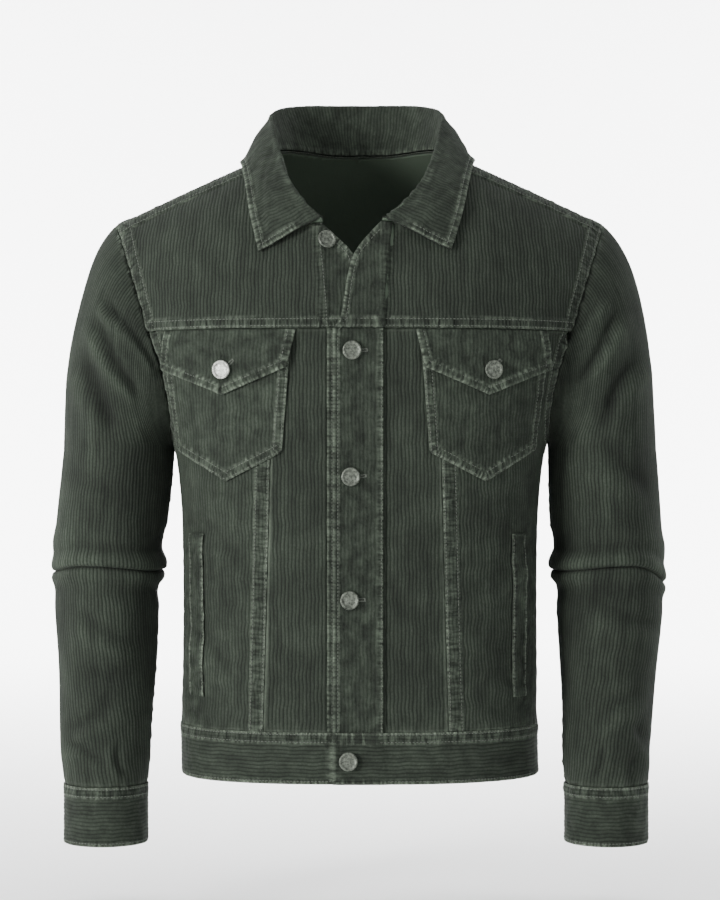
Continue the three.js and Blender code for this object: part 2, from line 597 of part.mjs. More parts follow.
function cuff(front) {
  const rounds = steps(24).slice(0, -1);
  const grid = rounds.map((round) =>
    steps(2).map((t) => {
      const p = sleeveRing(round, SLEEVE_FOOT_Z, front.lean);
      const drop = (SLEEVE_FOOT_Z - CUFF_FOOT_Z - SEAM) * t;
      return p.add(new THREE.Vector3(CUFF_SWING.x * drop, CUFF_SWING.y * drop, -SEAM - drop));
    }),
  );
  const sided = front.sign > 0 ? grid : mirror(grid);
  return wall(`cuff_${front.name}`, sided, {
    low: CUFF_PROUD - BAND,
    high: CUFF_PROUD,
    closed: true,
    mirrored: front.sign < 0,
  });
}

// Moves a point out to a least distance from the shoulders, if it is nearer.
function keepOff(p, distance) {
  let nearest = null;
  for (let lift = 4; lift <= 160; lift += 2) {
    const q = shoulderAtX(p.x, lift);
    const away = q.distanceTo(p);
    if (!nearest || away < nearest.away) nearest = { away, q, lift };
  }
  const above = shoulderAtX(p.x, nearest.lift + 1).sub(shoulderAtX(p.x, nearest.lift - 1));
  const beside = shoulderAtX(p.x + 1, nearest.lift).sub(shoulderAtX(p.x - 1, nearest.lift));
  const outward = beside.cross(above).normalize();
  const height = p.clone().sub(nearest.q).dot(outward);
  return height < distance ? p.addScaledVector(outward, distance - height) : p;
}

// Each collar section rises from the neck seam to the roll and falls on the outside to the leaf's edge.
function collarSection(g) {
  const half = Math.abs(g);
  const sign = g < 0 ? -1 : 1;
  const front = FRONTS[g < 0 ? 0 : 1];
  const shift = COLLAR_SHIFT.sides * ease(half / 0.4) + COLLAR_SHIFT.ends * half ** 4;
  const lift = neckLift(half);
  const neck = shoulderAtX(sign * neckX(Math.min(lift, NECK_BACK_LIFT), front), lift);
  const roll = new THREE.Vector3(...["x", "y", "z"].map((axis) => readTable(ROLL, "g", axis, half)));
  roll.x = sign * roll.x - shift;
  const edgeX = sign * readTable(LEAF_EDGE, "g", "x", half) - shift * 0.7;
  const edge = shoulderAtX(edgeX, readTable(LEAF_EDGE, "g", "lift", half));
  const up = roll.clone().sub(neck).normalize();
  const downLeaf = edge.clone().sub(roll).normalize();
  neck.addScaledVector(up, BAND * 0.5 + NECK_SEAM);
  const fold = Math.min(FOLD_RADIUS, roll.distanceTo(neck) * 0.4);
  const outside = downLeaf.clone().sub(up).normalize();
  const bulge = new THREE.Vector3(roll.x, roll.y, 0).normalize();
  const step = (p) => (sign > 0 ? overStep(p.x) : 0);
  const leafAt = (t) => {
    const p = roll.clone().lerp(edge, t).addScaledVector(bulge, 4 * LEAF_BULGE * t * (1 - t) * half ** 0.5);
    return keepOff(p, LEAF_LIFT + step(p));
  };
  if (sign > 0) keepOff(neck, step(neck));
  return [
    neck,
    neck.clone().lerp(roll, 0.5),
    roll.clone().addScaledVector(up, -fold),
    roll.clone().addScaledVector(outside, fold * 0.1),
    roll.clone().addScaledVector(downLeaf, fold).addScaledVector(outside, fold * 0.35),
    ...[0.3, 0.55, 0.8, 1].map(leafAt),
  ];
}

function collar() {
  const grid = steps(2 * NECK_STEPS, -1, 1).map(collarSection);
  return wall("collar", grid, { low: -BAND / 2, high: BAND / 2, mirrored: true });
}

// A shank button: a dished cap with a raised rim on a short shank.
function button(name, place, outward) {
  const { radius, cap, shank, stand } = BUTTON;
  const profile = [
    [0, SEAM],
    [shank, SEAM],
    [shank * 0.8, stand],
    [radius * 0.9, stand],
    [radius, stand + cap * 0.4],
    [radius * 0.94, stand + cap * 0.85],
    [radius * 0.82, stand + cap],
    [radius * 0.7, stand + cap * 0.8],
    [0, stand + cap * 0.9],
  ].map(([x, y]) => new THREE.Vector2(x, y));
  const mesh = new THREE.Mesh(new THREE.LatheGeometry(profile, 16), metalMaterial());
  mesh.name = name;
  mesh.position.copy(place);
  mesh.quaternion.setFromUnitVectors(new THREE.Vector3(0, 1, 0), outward);
  return mesh;
}

function frontButton(name, x, z, height) {
  const place = frontPoint(x, z);
  const beside = frontPoint(x + 2, z).sub(place);
  const above = frontPoint(x, z + 2).sub(place);
  const outward = beside.cross(above).normalize();
  return button(name, place.addScaledVector(outward, height), outward);
}

const jacket = new THREE.Group();
jacket.name = "corduroy_jacket";
for (const front of FRONTS) {
  jacket.add(frontYoke(front), centrePanel(front), sidePanel(front), chestPocket(front), pocketFlap(front));
  jacket.add(handPocketWelt(front), sleeve(front), cuff(front));
  const flapX = front.sign * (FLAP.tipX + front.trimShift * 0.6);
  jacket.add(frontButton(`flap_button_${front.name}`, flapX, FLAP_BUTTON_Z, FLAP_BUTTON_HEIGHT));
}
jacket.add(placket(), buttonStand(), backPanel(), backYoke(), waistband(), collar());
FRONT_BUTTON_Z.forEach((z, i) => {
  const x = mix(FRONT_BUTTON_X.top, FRONT_BUTTON_X.foot, i / (FRONT_BUTTON_Z.length - 1));
  const height = LAP + BAND + (z < WAIST_Z ? WAIST_PROUD - SEAM / 2 : SEAM / 2);
  jacket.add(frontButton(`front_button_${i + 2}`, x, z, height));
});
jacket.add(frontButton("front_button_1", NECK_BUTTON.x, NECK_BUTTON.z, NECK_BUTTON.height));

export default jacket;
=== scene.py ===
import math
import bpy
import numpy as np
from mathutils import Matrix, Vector
from mathutils.kdtree import KDTree


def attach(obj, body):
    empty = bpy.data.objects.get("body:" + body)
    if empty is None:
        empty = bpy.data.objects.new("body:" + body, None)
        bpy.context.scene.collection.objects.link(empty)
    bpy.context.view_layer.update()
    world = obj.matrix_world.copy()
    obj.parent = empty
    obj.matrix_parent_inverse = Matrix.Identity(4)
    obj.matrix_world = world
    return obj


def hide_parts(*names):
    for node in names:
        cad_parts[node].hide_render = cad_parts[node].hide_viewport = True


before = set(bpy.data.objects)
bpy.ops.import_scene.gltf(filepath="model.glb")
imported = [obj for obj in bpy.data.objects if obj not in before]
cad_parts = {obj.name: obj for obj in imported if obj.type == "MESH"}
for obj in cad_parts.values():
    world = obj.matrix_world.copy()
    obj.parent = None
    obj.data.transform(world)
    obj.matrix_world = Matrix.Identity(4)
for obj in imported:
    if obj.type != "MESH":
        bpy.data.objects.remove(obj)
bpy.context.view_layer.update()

# Sizes are in millimetres until a mesh is made, and left and right are the wearer's.
cloth = 1.6
band = 3.0
seam = 0.4
lap = 0.4
pocketLap = 0.6
pitch = 3.6  # from one wale to the next
waleDepth = 0.46
perWale = 4  # columns of the mesh across each wale

# body rings: height, half width, front depth, back depth
torsoRows = np.array([
    (-572, 177, 117, 109),
    (-519, 177, 116, 107),
    (-440, 176, 113, 102),
    (-360, 176, 114, 103),
    (-300, 178, 118, 108),
    (-250, 184, 121, 113),
    (-200, 197, 123, 117),
    (-134, 222, 121, 119),
    (-100, 234, 118, 119),
], float)
squareness, frontRoundness, backRoundness = 2.6, 1.9, 2.5
hemZ, waistZ, frontYokeZ, backYokeZ, underarmZ = -568.5, -519.0, -134.0, -110.0, -240.0
armholeLowX, armholeTopX = 206.0, 242.0
neckHalf, neckBackLift, neckFrontLift = 84.0, 122.0, 31.0
neckShareBehind = 0.45  # share of the half neck behind the shoulder seam
shoulderLift = neckFrontLift + (90 - neckFrontLift) * (neckShareBehind / (1 - neckShareBehind)) ** 1.2 - 0.12
fronts = [
    {"name": "right", "sign": -1, "neckEnd": 35.0, "neckCurve": 0.33, "shift": 0.0, "lean": -3.0,
     "over": False},
    {"name": "left", "sign": 1, "neckEnd": 20.0, "neckCurve": 0.26, "shift": -8.0, "lean": 4.5, "over": True},
]
overEdgeX, overSeamX, underEdgeX, underSeamX = -26.0, 22.0, 15.0, -32.0


def mix(a, b, t):
    return a + (b - a) * t


def ease(t):
    t = np.clip(t, 0, 1)
    return t * t * (3 - 2 * t)


# A column of a table, read between its rows on a smooth curve.
def readTable(xs, ys, x):
    xs, ys = np.asarray(xs, float), np.asarray(ys, float)
    x = np.clip(x, xs[0], xs[-1])
    i = np.searchsorted(xs[1:-1], x, side="left")
    ahead, behind = np.r_[1:len(xs), len(xs) - 1], np.r_[0, 0:len(xs) - 1]
    slope = (ys[ahead] - ys[behind]) / (xs[ahead] - xs[behind])
    span = xs[i + 1] - xs[i]
    t = (x - xs[i]) / span
    start = ys[i] * (1 + 2 * t) * (1 - t) ** 2 + span * slope[i] * t * (1 - t) ** 2
    return start + ys[i + 1] * t * t * (3 - 2 * t) + span * slope[i + 1] * t * t * (t - 1)


def signedPower(x, power):
    return np.sign(x) * np.abs(x) ** power


def unit(v):
    return v / np.maximum(np.linalg.norm(v, axis=-1, keepdims=True), 1e-9)


def bodyHalf(z):
    return readTable(torsoRows[:, 0], torsoRows[:, 1], z)


def torso(turn, z):
    turn, z = np.broadcast_arrays(np.asarray(turn, float), np.asarray(z, float))
    across, ahead = np.sin(np.radians(turn)), np.cos(np.radians(turn))
    front = readTable(torsoRows[:, 0], torsoRows[:, 2], z)
    back = readTable(torsoRows[:, 0], torsoRows[:, 3], z)
    power = 2 / squareness
    y = -np.where(ahead > 0, front, back) * signedPower(ahead, power)
    return np.stack([bodyHalf(z) * signedPower(across, power), y, z], -1)


def turnAt(x, z):
    share = np.clip(np.abs(x) / bodyHalf(z), 0, 1)
    return np.sign(x) * np.degrees(np.arcsin(share ** (squareness / 2)))


def ridgeZ(x):
    return 92 - 0.475 * np.hypot(x, 40)


def armholeX(lift):
    return mix(armholeLowX, armholeTopX, np.sin(np.radians(lift)))


def shoulder(across, lift):
    across, lift = np.broadcast_arrays(np.asarray(across, float), np.asarray(lift, float))
    inFront = lift < 90
    q = np.radians(np.clip(np.where(inFront, lift, 180 - lift), 0, 90))
    seamZ = np.where(inFront, frontYokeZ, backYokeZ)
    power = np.where(inFront, 2 / frontRoundness, 2 / backRoundness)
    turn = turnAt(across * armholeLowX, seamZ)
    foot = torso(np.where(inFront, turn, 180 - turn), seamZ)
    x = across * armholeX(lift)
    y = mix(3, foot[..., 1], np.abs(np.cos(q)) ** power)
    z = mix(seamZ, ridgeZ(x), np.sin(q) ** power)
    return np.stack([x, y, z], -1)


def liftAt(x, z):
    rise = np.clip((z - frontYokeZ) / (ridgeZ(x) - frontYokeZ), 0, 1)
    return np.degrees(np.arcsin(rise ** (frontRoundness / 2)))


def armholeTurn(z, inFront):
    seamZ = frontYokeZ if inFront else backYokeZ
    start = turnAt(armholeLowX, seamZ)
    down = np.clip((seamZ - z) / (seamZ - underarmZ), 0, 1)
    return mix(90, start, np.sqrt(1 - down * down))


def neckX(lift, front):
    behind = neckHalf * (np.clip(neckBackLift - lift, 0, 32) / 32) ** (1 / 2.2)
    t = np.clip((lift - neckFrontLift) / (90 - neckFrontLift), 0, 1)
    return np.where(np.asarray(lift) >= 90, behind, mix(front["neckEnd"], neckHalf, t ** front["neckCurve"]))


# The value of a table at fractional places, in its first two directions.
def bilinear(table, fi, fj):
    i = np.clip(np.floor(fi).astype(int), 0, table.shape[0] - 2)
    j = np.clip(np.floor(fj).astype(int), 0, table.shape[1] - 2)
    a, b = fi - i, fj - j
    if table.ndim == 3:
        a, b = a[..., None], b[..., None]
    low = table[i, j] * (1 - b) + table[i, j + 1] * b
    high = table[i + 1, j] * (1 - b) + table[i + 1, j + 1] * b
    return low * (1 - a) + high * a


def lengthsAlong(points):
    steps = np.linalg.norm(np.diff(points, axis=-2), axis=-1)
    return np.concatenate([np.zeros(steps.shape[:-1] + (1,)), np.cumsum(steps, -1)], -1)


# Wales keep their distance on the cloth, so places on the body are measured round it from the middle.
arcStep = 1.0
arcs = np.arange(0, 330, arcStep)
bodyHeights = np.linspace(-580, -96, 122)
ringTurns = np.linspace(0, 180, 1441)
ringArcs = lengthsAlong(torso(ringTurns[None], bodyHeights[:, None]))
frontTurns = np.array([np.interp(arcs, row, ringTurns) for row in ringArcs])
backTurns = np.array([180 - np.interp(row[-1] - arcs, row, ringTurns) for row in ringArcs])
quarter = np.array([np.interp(90, ringTurns, row) for row in ringArcs])
backQuarter = ringArcs[:, -1] - quarter
narrow = -400.0


def heightIndex(z):
    return (np.asarray(z, float) - bodyHeights[0]) / (bodyHeights[1] - bodyHeights[0])


# below the narrowest height the cloth flares a little without losing wales
def flare(z, lengths):
    own = np.interp(z, bodyHeights, lengths)
    return np.where(z < narrow, own / np.interp(narrow, bodyHeights, lengths), 1.0)


def arcOfTurn(turn, z):
    return bilinear(ringArcs, heightIndex(z), np.abs(turn) / (ringTurns[1] - ringTurns[0]))


def frontBody(s, z):
    fi, fj = np.broadcast_arrays(heightIndex(z), np.abs(s) * flare(z, quarter) / arcStep)
    return torso(np.sign(s) * bilinear(frontTurns, fi, fj), z)


def backBody(s, z):
    fi, fj = np.broadcast_arrays(heightIndex(z), np.abs(s) * flare(z, backQuarter) / arcStep)
    return torso(180 + np.sign(s) * bilinear(backTurns, fi, fj), z)


def frontArcAtX(x, z):
    return np.sign(x) * arcOfTurn(turnAt(x, z), z) / flare(z, quarter)


liftRows = np.linspace(0, 180, 361)
acrossRows = np.linspace(0, 1.2, 241)
yokeArcs = lengthsAlong(shoulder(acrossRows[None], liftRows[:, None]))
yokeAcross = np.array([np.interp(arcs, row, acrossRows) for row in yokeArcs])


def acrossOfArc(s, lift):
    fi, fj = np.broadcast_arrays(np.asarray(lift, float) * 2, np.abs(s) / arcStep)
    return np.sign(s) * bilinear(yokeAcross, fi, fj)


def yokeArcAt(across, lift):
    fi, fj = np.broadcast_arrays(np.asarray(lift, float) * 2, np.abs(across) / (acrossRows[1] - acrossRows[0]))
    return np.sign(across) * bilinear(yokeArcs, fi, fj)


def frontShoulder(s, lift):
    return shoulder(acrossOfArc(s, lift), lift)


# The back yoke is measured from its seam: rise is 180 less the lift.
def backShoulder(s, rise):
    lift = 180 - np.asarray(rise, float)
    return shoulder(-acrossOfArc(s, lift), lift)


# Creases: a ridge with a sharper dip above it, or a dip alone. Each runs in a line over the cloth:
# x and z of both ends, width, rise, and its side of the body, 1 for the wearer's left, -1 for the right and 0
# for both. x is measured on that side.
bodyCreases = {
    "front": [
        (253, -112, 203, -170, 4.2, 5.4, -1),
        (269, -137, 227, -197, 6, 4.4, -1),
        (286, -176, 252, -226, 8, 2.4, -1),
        (243, -108, 204, -148, 4.4, 4.4, 1),
        (262, -128, 224, -182, 6, 3.8, 1),
        (284, -166, 254, -214, 8, 2.2, 1),
        (284, -186, 256, -238, 9, 2.0, -1),
        (280, -176, 246, -232, 9, 1.8, 1),
        (284, -268, 236, -300, 11, -1.8, -1),
        (226, -262, 272, -304, 11, 1.8, 1),
        (282, -426, 228, -450, 8, 1.8, -1),
        (226, -416, 284, -436, 8, 1.8, 1),
        (280, -474, 226, -462, 9, -1.8, 0),
        (232, -506, 272, -532, 8, 1.8, -1),
        (278, -498, 236, -524, 8, 1.8, 1),
        (286, -546, 252, -556, 4.5, 2.0, -1),
        (244, -540, 236, -566, 4, 1.8, 0),
        (266, -548, 262, -570, 4, -1.7, 0),
        (280, -560, 262, -522, 6, 1.8, 1),
        (178, -330, 118, -372, 9, 1.1, -1),
        (176, -420, 108, -396, 10, -1.2, -1),
        (172, -440, 126, -478, 9, 1.1, -1),
        (178, -346, 128, -326, 9, -1.0, 1),
        (174, -366, 110, -402, 10, 1.2, 1),
        (172, -462, 118, -430, 10, -1.0, 1),
        (168, -498, 124, -474, 8, 1.0, 1),
        (84, -300, 34, -326, 9, 1.1, 1),
        (82, -420, 36, -398, 10, -1.1, 1),
        (80, -348, 32, -334, 9, 1.1, -1),
        (84, -470, 34, -446, 10, -1.1, -1),
    ],
    "back": [
        (262, -110, 206, -176, 7, 3.6, 0),
        (272, -136, 226, -196, 8, -3.0, 1),
        (266, -140, 216, -206, 8, 3.0, -1),
        (284, -280, 230, -302, 11, 1.8, 0),
        (226, -430, 280, -448, 9, 1.8, 1),
        (280, -470, 228, -456, 9, 1.8, -1),
        (282, -548, 246, -560, 5, 1.8, 0),
        (176, -336, 64, -372, 14, 1.6, 1),
        (178, -346, 92, -374, 13, 1.5, -1),
        (180, -412, 84, -388, 15, -1.5, 1),
        (176, -398, 66, -424, 15, -1.4, -1),
        (178, -446, 60, -474, 14, 1.3, 1),
        (176, -470, 88, -446, 14, 1.2, -1),
        (172, -512, 96, -494, 12, -1.0, 1),
        (196, -196, 140, -246, 14, 1.7, 0),
    ],
}


def creaseRise(p, facing):
    rise = np.zeros(p.shape[:-1])
    for where, rows in bodyCreases.items():
        seen = (facing < 0) if where == "front" else (facing >= 0)
        for x0, z0, x1, z1, width, height, side in rows:
            dx, dz = x1 - x0, z1 - z0
            fx, fz = np.abs(p[..., 0]) - x0, p[..., 2] - z0
            t = (fx * dx + fz * dz) / (dx * dx + dz * dz)
            above = (fz * dx - fx * dz) / math.hypot(dx, dz) * np.sign(dx) + 1.8 * np.sin(t * 5 + x0)
            wide = width * (1.15 - 0.3 * t)
            line = height * np.exp(-(np.abs(above / wide) ** 1.6))
            if height > 0:
                line -= 1.15 * height * np.exp(-(((above - 1.9 * wide) / (0.8 * wide)) ** 2))
            own = seen if side == 0 else seen & (p[..., 0] * side > 0)
            rise += np.where(own, line * ease(2.5 * t + 0.6) * ease(2.5 * (1 - t) + 0.6), 0)
    return rise * np.clip(np.abs(facing) * 2.5, 0, 1)


# A soft uneven line, for puckers along a seam and for the hang of the cloth.
def uneven(t, waves, seed):
    total = sum(math.sqrt(w) * np.sin(t * 2 * math.pi / w + seed * (k + 1.7) * 2.3)
                for k, w in enumerate(waves))
    return total / sum(math.sqrt(w) for w in waves)


# The nearest distance from each point to a line of points, and how far along the line that is.
def nearLine(points, line):
    flat = points.reshape(-1, 3)
    along = lengthsAlong(line[None])[0]
    distance, place = np.empty(len(flat)), np.empty(len(flat))
    a, ab = line[:-1], np.diff(line, axis=0)
    size = np.maximum((ab ** 2).sum(-1), 1e-9)
    for start in range(0, len(flat), 4000):
        p = flat[start:start + 4000, None]
        t = np.clip(((p - a) * ab).sum(-1) / size, 0, 1)
        d = ((p - a - t[..., None] * ab) ** 2).sum(-1)
        k = d.argmin(1)
        rows = np.arange(len(k))
        distance[start:start + 4000] = np.sqrt(d[rows, k])
        place[start:start + 4000] = along[k] + t[rows, k] * np.sqrt(size[k])
    return distance.reshape(points.shape[:-1]), place.reshape(points.shape[:-1])


def lineOf(at, s, v, step=5.0):
    line = at(*np.broadcast_arrays(np.asarray(s, float), np.asarray(v, float)))
    along = lengthsAlong(line[None])[0]
    places = np.linspace(0, along[-1], max(int(along[-1] / step), 2) + 1)
    return np.stack([np.interp(places, along, line[:, k]) for k in range(3)], -1)


# Columns run along the wales and rows across them. An edge that crosses the columns cuts them: at each row, all
# columns past the edge are one point on it. A hole splits the rows that cross it in two.
def cutGrid(rows, limits, hole=None, every=6):
    step = pitch / perWale
    sIn, sOut = (np.broadcast_to(np.asarray(f(rows), float), rows.shape) for f in limits)
    columns = np.arange(math.floor(sIn.min() / step), math.ceil(sOut.max() / step) + 1) * step
    gap = np.broadcast_to(np.asarray(hole(rows), float), rows.shape) if hole else None

    def layer(cols):
        ids = np.zeros((len(cols), len(rows)), int)
        s = np.zeros((len(cols), len(rows)))
        count = np.arange(len(cols))
        middle = np.searchsorted(cols, 0.0)
        for j in range(len(rows)):
            spans = [(0, len(cols) - 1, sIn[j], sOut[j])]
            if gap is not None:
                spans = [(0, middle - 1, sIn[j], -gap[j]), (middle, len(cols) - 1, gap[j], sOut[j])]
            for first, last, low, high in spans:
                a = np.clip(np.searchsorted(cols, low + 0.2 * step, "right") - 1, first, last)
                b = np.clip(np.searchsorted(cols, high - 0.2 * step, "left"), first, last)
                b = max(a, b)
                own = np.clip(count[first:last + 1], a, b)
                ids[first:last + 1, j] = own
                s[first:last + 1, j] = np.clip(cols[own], low, high)
                if gap is None or first == 0 or gap[j] > 0:
                    s[first:last + 1, j][own == a] = low
                if gap is None or first > 0 or gap[j] > 0:
                    s[first:last + 1, j][own == b] = high
        return ids * len(rows) + np.arange(len(rows)), s, middle

    coarse = np.unique(np.r_[np.arange(0, len(columns), every), len(columns) - 1])
    if gap is not None:
        middle = np.searchsorted(columns, 0.0)
        coarse = np.unique(np.r_[coarse, middle - 1, middle])
    fineIds, fineS, fineMiddle = layer(columns)
    coarseIds, coarseS, coarseMiddle = layer(columns[coarse])
    return {"rows": rows, "s": fineS, "ids": fineIds, "coarse": coarse, "coarseS": coarseS,
            "coarseIds": coarseIds, "gap": gap, "middle": fineMiddle, "coarseMiddle": coarseMiddle}


# Shares of a column's length, closer together near its ends.
def rowShares(count, ends=0.09):
    t = np.linspace(0, 1, count)
    return t - ends * np.sin(2 * math.pi * t)


def rowsBetween(low, high, spacing, ends=0.09):
    return low + (high - low) * rowShares(int(abs(high - low) / spacing) + 2, ends)


# The faces of a grid of point numbers, without those that the cut leaves empty.
def gridFaces(ids, gap, middle):
    a, b, c, d = ids[:-1, :-1], ids[1:, :-1], ids[1:, 1:], ids[:-1, 1:]
    kept = np.ones(a.shape, bool)
    if gap is not None:
        kept[middle - 1] = (gap[:-1] <= 0) & (gap[1:] <= 0)
    whole = kept & (a != b) & (d != c)
    low, high = kept & (a == b) & (d != c), kept & (a != b) & (d == c)
    quads = np.stack([a[whole], b[whole], c[whole], d[whole]], -1)
    tris = np.concatenate([np.stack([a[low], c[low], d[low]], -1), np.stack([a[high], b[high], c[high]], -1)])
    return quads, tris


def surfaceNormals(at, s, v, step):
    beside = at(s + 1, v) - at(s - 1, v)
    up = at(s, v + step) - at(s, v - step)
    return unit(np.cross(beside, up))


# One mesh from points, quads and faces with more corners, with its places for the material and its masks.
def buildMesh(name, points, quads, others, materials, slots, uv=None, seamUv=None, masks=None):
    mesh = bpy.data.meshes.new(name)
    mesh.vertices.add(len(points))
    mesh.vertices.foreach_set("co", (points * 0.001).astype(np.float32).ravel())
    totals = np.r_[np.full(len(quads), 4), [len(f) for f in others]].astype(np.int32)
    loops = np.concatenate([quads.ravel(), *(np.asarray(f) for f in others)]).astype(np.int32)
    mesh.loops.add(len(loops))
    mesh.loops.foreach_set("vertex_index", loops)
    mesh.polygons.add(len(totals))
    mesh.polygons.foreach_set("loop_start", np.r_[0, np.cumsum(totals)[:-1]].astype(np.int32))
    mesh.polygons.foreach_set("loop_total", totals)
    mesh.polygons.foreach_set("material_index", slots.astype(np.int32))
    mesh.polygons.foreach_set("use_smooth", np.ones(len(totals), bool))
    for layerName, values in (("waleUv", uv), ("seamUv", seamUv)):
        if values is not None:
            layer = mesh.uv_layers.new(name=layerName)
            layer.data.foreach_set("uv", values[loops].astype(np.float32).ravel())
    for maskName, values in (masks or {}).items():
        mesh.attributes.new(maskName, "FLOAT", "POINT").data.foreach_set("value", values.astype(np.float32))
    mesh.update(calc_edges=True)
    mesh.validate()
    for material in materials:
        mesh.materials.append(material)
    piece = bpy.data.objects.new(name, mesh)
    bpy.context.scene.collection.objects.link(piece)
    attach(piece, "root")
    return piece


# A closed sheet of cloth: the wales on its outer face, and a plain inner face with fewer points.
def sheetMesh(name, grid, outer, inner, materials, uv, seamUv, masks, flip):
    ids, coarseIds, coarse, gap = grid["ids"], grid["coarseIds"], grid["coarse"], grid["gap"]
    count = outer.shape[0] * outer.shape[1]
    quads, tris = gridFaces(ids, gap, grid["middle"])
    innerQuads, innerTris = gridFaces(coarseIds, gap, grid["coarseMiddle"])
    faces = [list(f) for f in tris] + [list(f[::-1] + count) for f in innerTris]
    innerQuads = innerQuads[:, ::-1] + count
    rims = []
    last, lastCoarse = len(ids) - 1, len(coarse) - 1
    sides = [(ids[0], coarseIds[0], False), (ids[last], coarseIds[lastCoarse], True)]
    if gap is not None:
        splitRows = np.nonzero(gap > 0)[0]
        splitRows = np.r_[splitRows[0] - 1, splitRows]
        m, cm = grid["middle"], grid["coarseMiddle"]
        sides += [(ids[m - 1][splitRows], coarseIds[cm - 1][splitRows], True),
                  (ids[m][splitRows], coarseIds[cm][splitRows], False)]
        top = splitRows[0]
        rims.append([ids[m][top], coarseIds[cm][top] + count, coarseIds[cm - 1][top] + count, ids[m - 1][top]])
    for o, i, flipped in sides:
        rim = np.stack([o[:-1], o[1:], i[1:] + count, i[:-1] + count], -1)
        rims += [list(f[::-1] if flipped else f) for f in rim]
    for j, flipped in ((0, False), (ids.shape[1] - 1, True)):
        for k in range(lastCoarse):
            if gap is not None and gap[j] > 0 and k == grid["coarseMiddle"] - 1:
                continue
            chain = ids[coarse[k]:coarse[k + 1] + 1, j]
            chain = chain[np.r_[True, np.diff(chain) != 0]]
            pair = [coarseIds[k, j] + count, coarseIds[k + 1, j] + count]
            if len(chain) < 2 and pair[0] == pair[1]:
                continue
            ring = list(chain[::-1]) + (pair if pair[0] != pair[1] else pair[:1])
            if len(ring) > 2:
                rims.append(ring[::-1] if flipped else ring)
    points = np.concatenate([outer.reshape(-1, 3), inner.reshape(-1, 3)])
    allQuads = np.concatenate([quads, innerQuads])
    others = faces + rims
    if flip:
        allQuads = allQuads[:, ::-1]
        others = [f[::-1] for f in others]
    used = np.zeros(len(points), bool)
    used[allQuads] = True
    used[np.concatenate(others)] = True
    number = np.cumsum(used) - 1
    counts = [len(part) for part in (quads, innerQuads, tris, innerTris, rims)]
    slots = np.repeat([0, 1, 0, 1, 0], counts)
    rest = np.zeros((len(points) - count, 2))
    uvs, seamUvs = (np.concatenate([values.reshape(-1, 2), rest])[used] for values in (uv, seamUv))
    allMasks = {key: np.concatenate([values.ravel(), rest[:, 0]])[used] for key, values in masks.items()}
    return buildMesh(name, points[used], number[allQuads], [number[f] for f in others], materials, slots, uvs,
                     seamUvs, allMasks)


stitchSets, finished = {}, {}


# Lays stitches along a line, moved in from it by some distance and set on the finished face of the cloth.
def stitch(group, line, inset, tree, faces, normals, centre, length=2.7, gap=0.7, thick=0.42):
    def onto(p):
        _, k, _ = tree.find(p)
        n = normals[k]
        return p - n * np.dot(p - faces[k], n), n

    tangents = unit(np.gradient(line, axis=0))
    near = np.array([normals[tree.find(p)[1]] for p in line])
    side = unit(np.cross(tangents, near))
    middle = len(line) // 2
    towards = np.dot(centre - line[middle], side[middle])
    moved = line + side * (inset if towards > 0 else -inset)
    along = lengthsAlong(moved[None])[0]
    count = int((along[-1] - 2) / (length + gap))
    starts = 1 + np.arange(max(count, 0)) * (length + gap)
    for start in starts:
        ends = [np.array([np.interp(at, along, moved[:, k]) for k in range(3)])
                for at in (start, start + length)]
        (p, n), (q, _) = onto(ends[0]), onto(ends[1])
        if np.linalg.norm(p - ends[0]) < 6 and np.linalg.norm(q - p) < 2 * length:
            stitchSets.setdefault(group, []).append((p, q, n, thick))


# All stitches of a group in one mesh: each is a short round thread that dips into the cloth at both ends.
def buildStitches(name, stitches, material):
    sides, rings = 5, 4
    turn = np.arange(sides) * 2 * math.pi / sides
    t = np.linspace(0, 1, rings)
    p, q, n = (np.array([s[k] for s in stitches]) for k in range(3))
    thick = np.array([s[3] for s in stitches])
    along = unit(q - p)
    side = unit(np.cross(along, n))
    up = np.cross(side, along)
    girth = np.array([0.5, 1.0, 1.0, 0.5])
    rise = np.array([-0.3, 0.35, 0.35, -0.3])
    centre = p[:, None] + (q - p)[:, None] * t[None, :, None] + up[:, None] * (rise * thick[:, None])[..., None]
    turned = turn[None, None, :, None]
    ringShape = side[:, None, None] * np.cos(turned) + up[:, None, None] * np.sin(turned)
    points = centre[:, :, None] + ringShape * (girth[None, :] * thick[:, None])[:, :, None, None]
    base = (np.arange(len(stitches)) * sides * rings)[:, None, None]
    ring, corner = np.meshgrid(np.arange(rings - 1), np.arange(sides), indexing="ij")

    def one(r, c):
        return base + (r * sides + c % sides)[None]

    quads = np.stack([one(ring, corner), one(ring + 1, corner), one(ring + 1, corner + 1),
                      one(ring, corner + 1)], -1)
    caps = []
    for k in range(len(stitches)):
        first = k * sides * rings
        caps.append(first + np.arange(sides))
        caps.append((first + (rings - 1) * sides + np.arange(sides))[::-1])
    quads = quads.reshape(-1, 4)
    slots = np.zeros(len(quads) + len(caps))
    piece = buildMesh(name, points.reshape(-1, 3), quads, caps, [material], slots)
    return piece
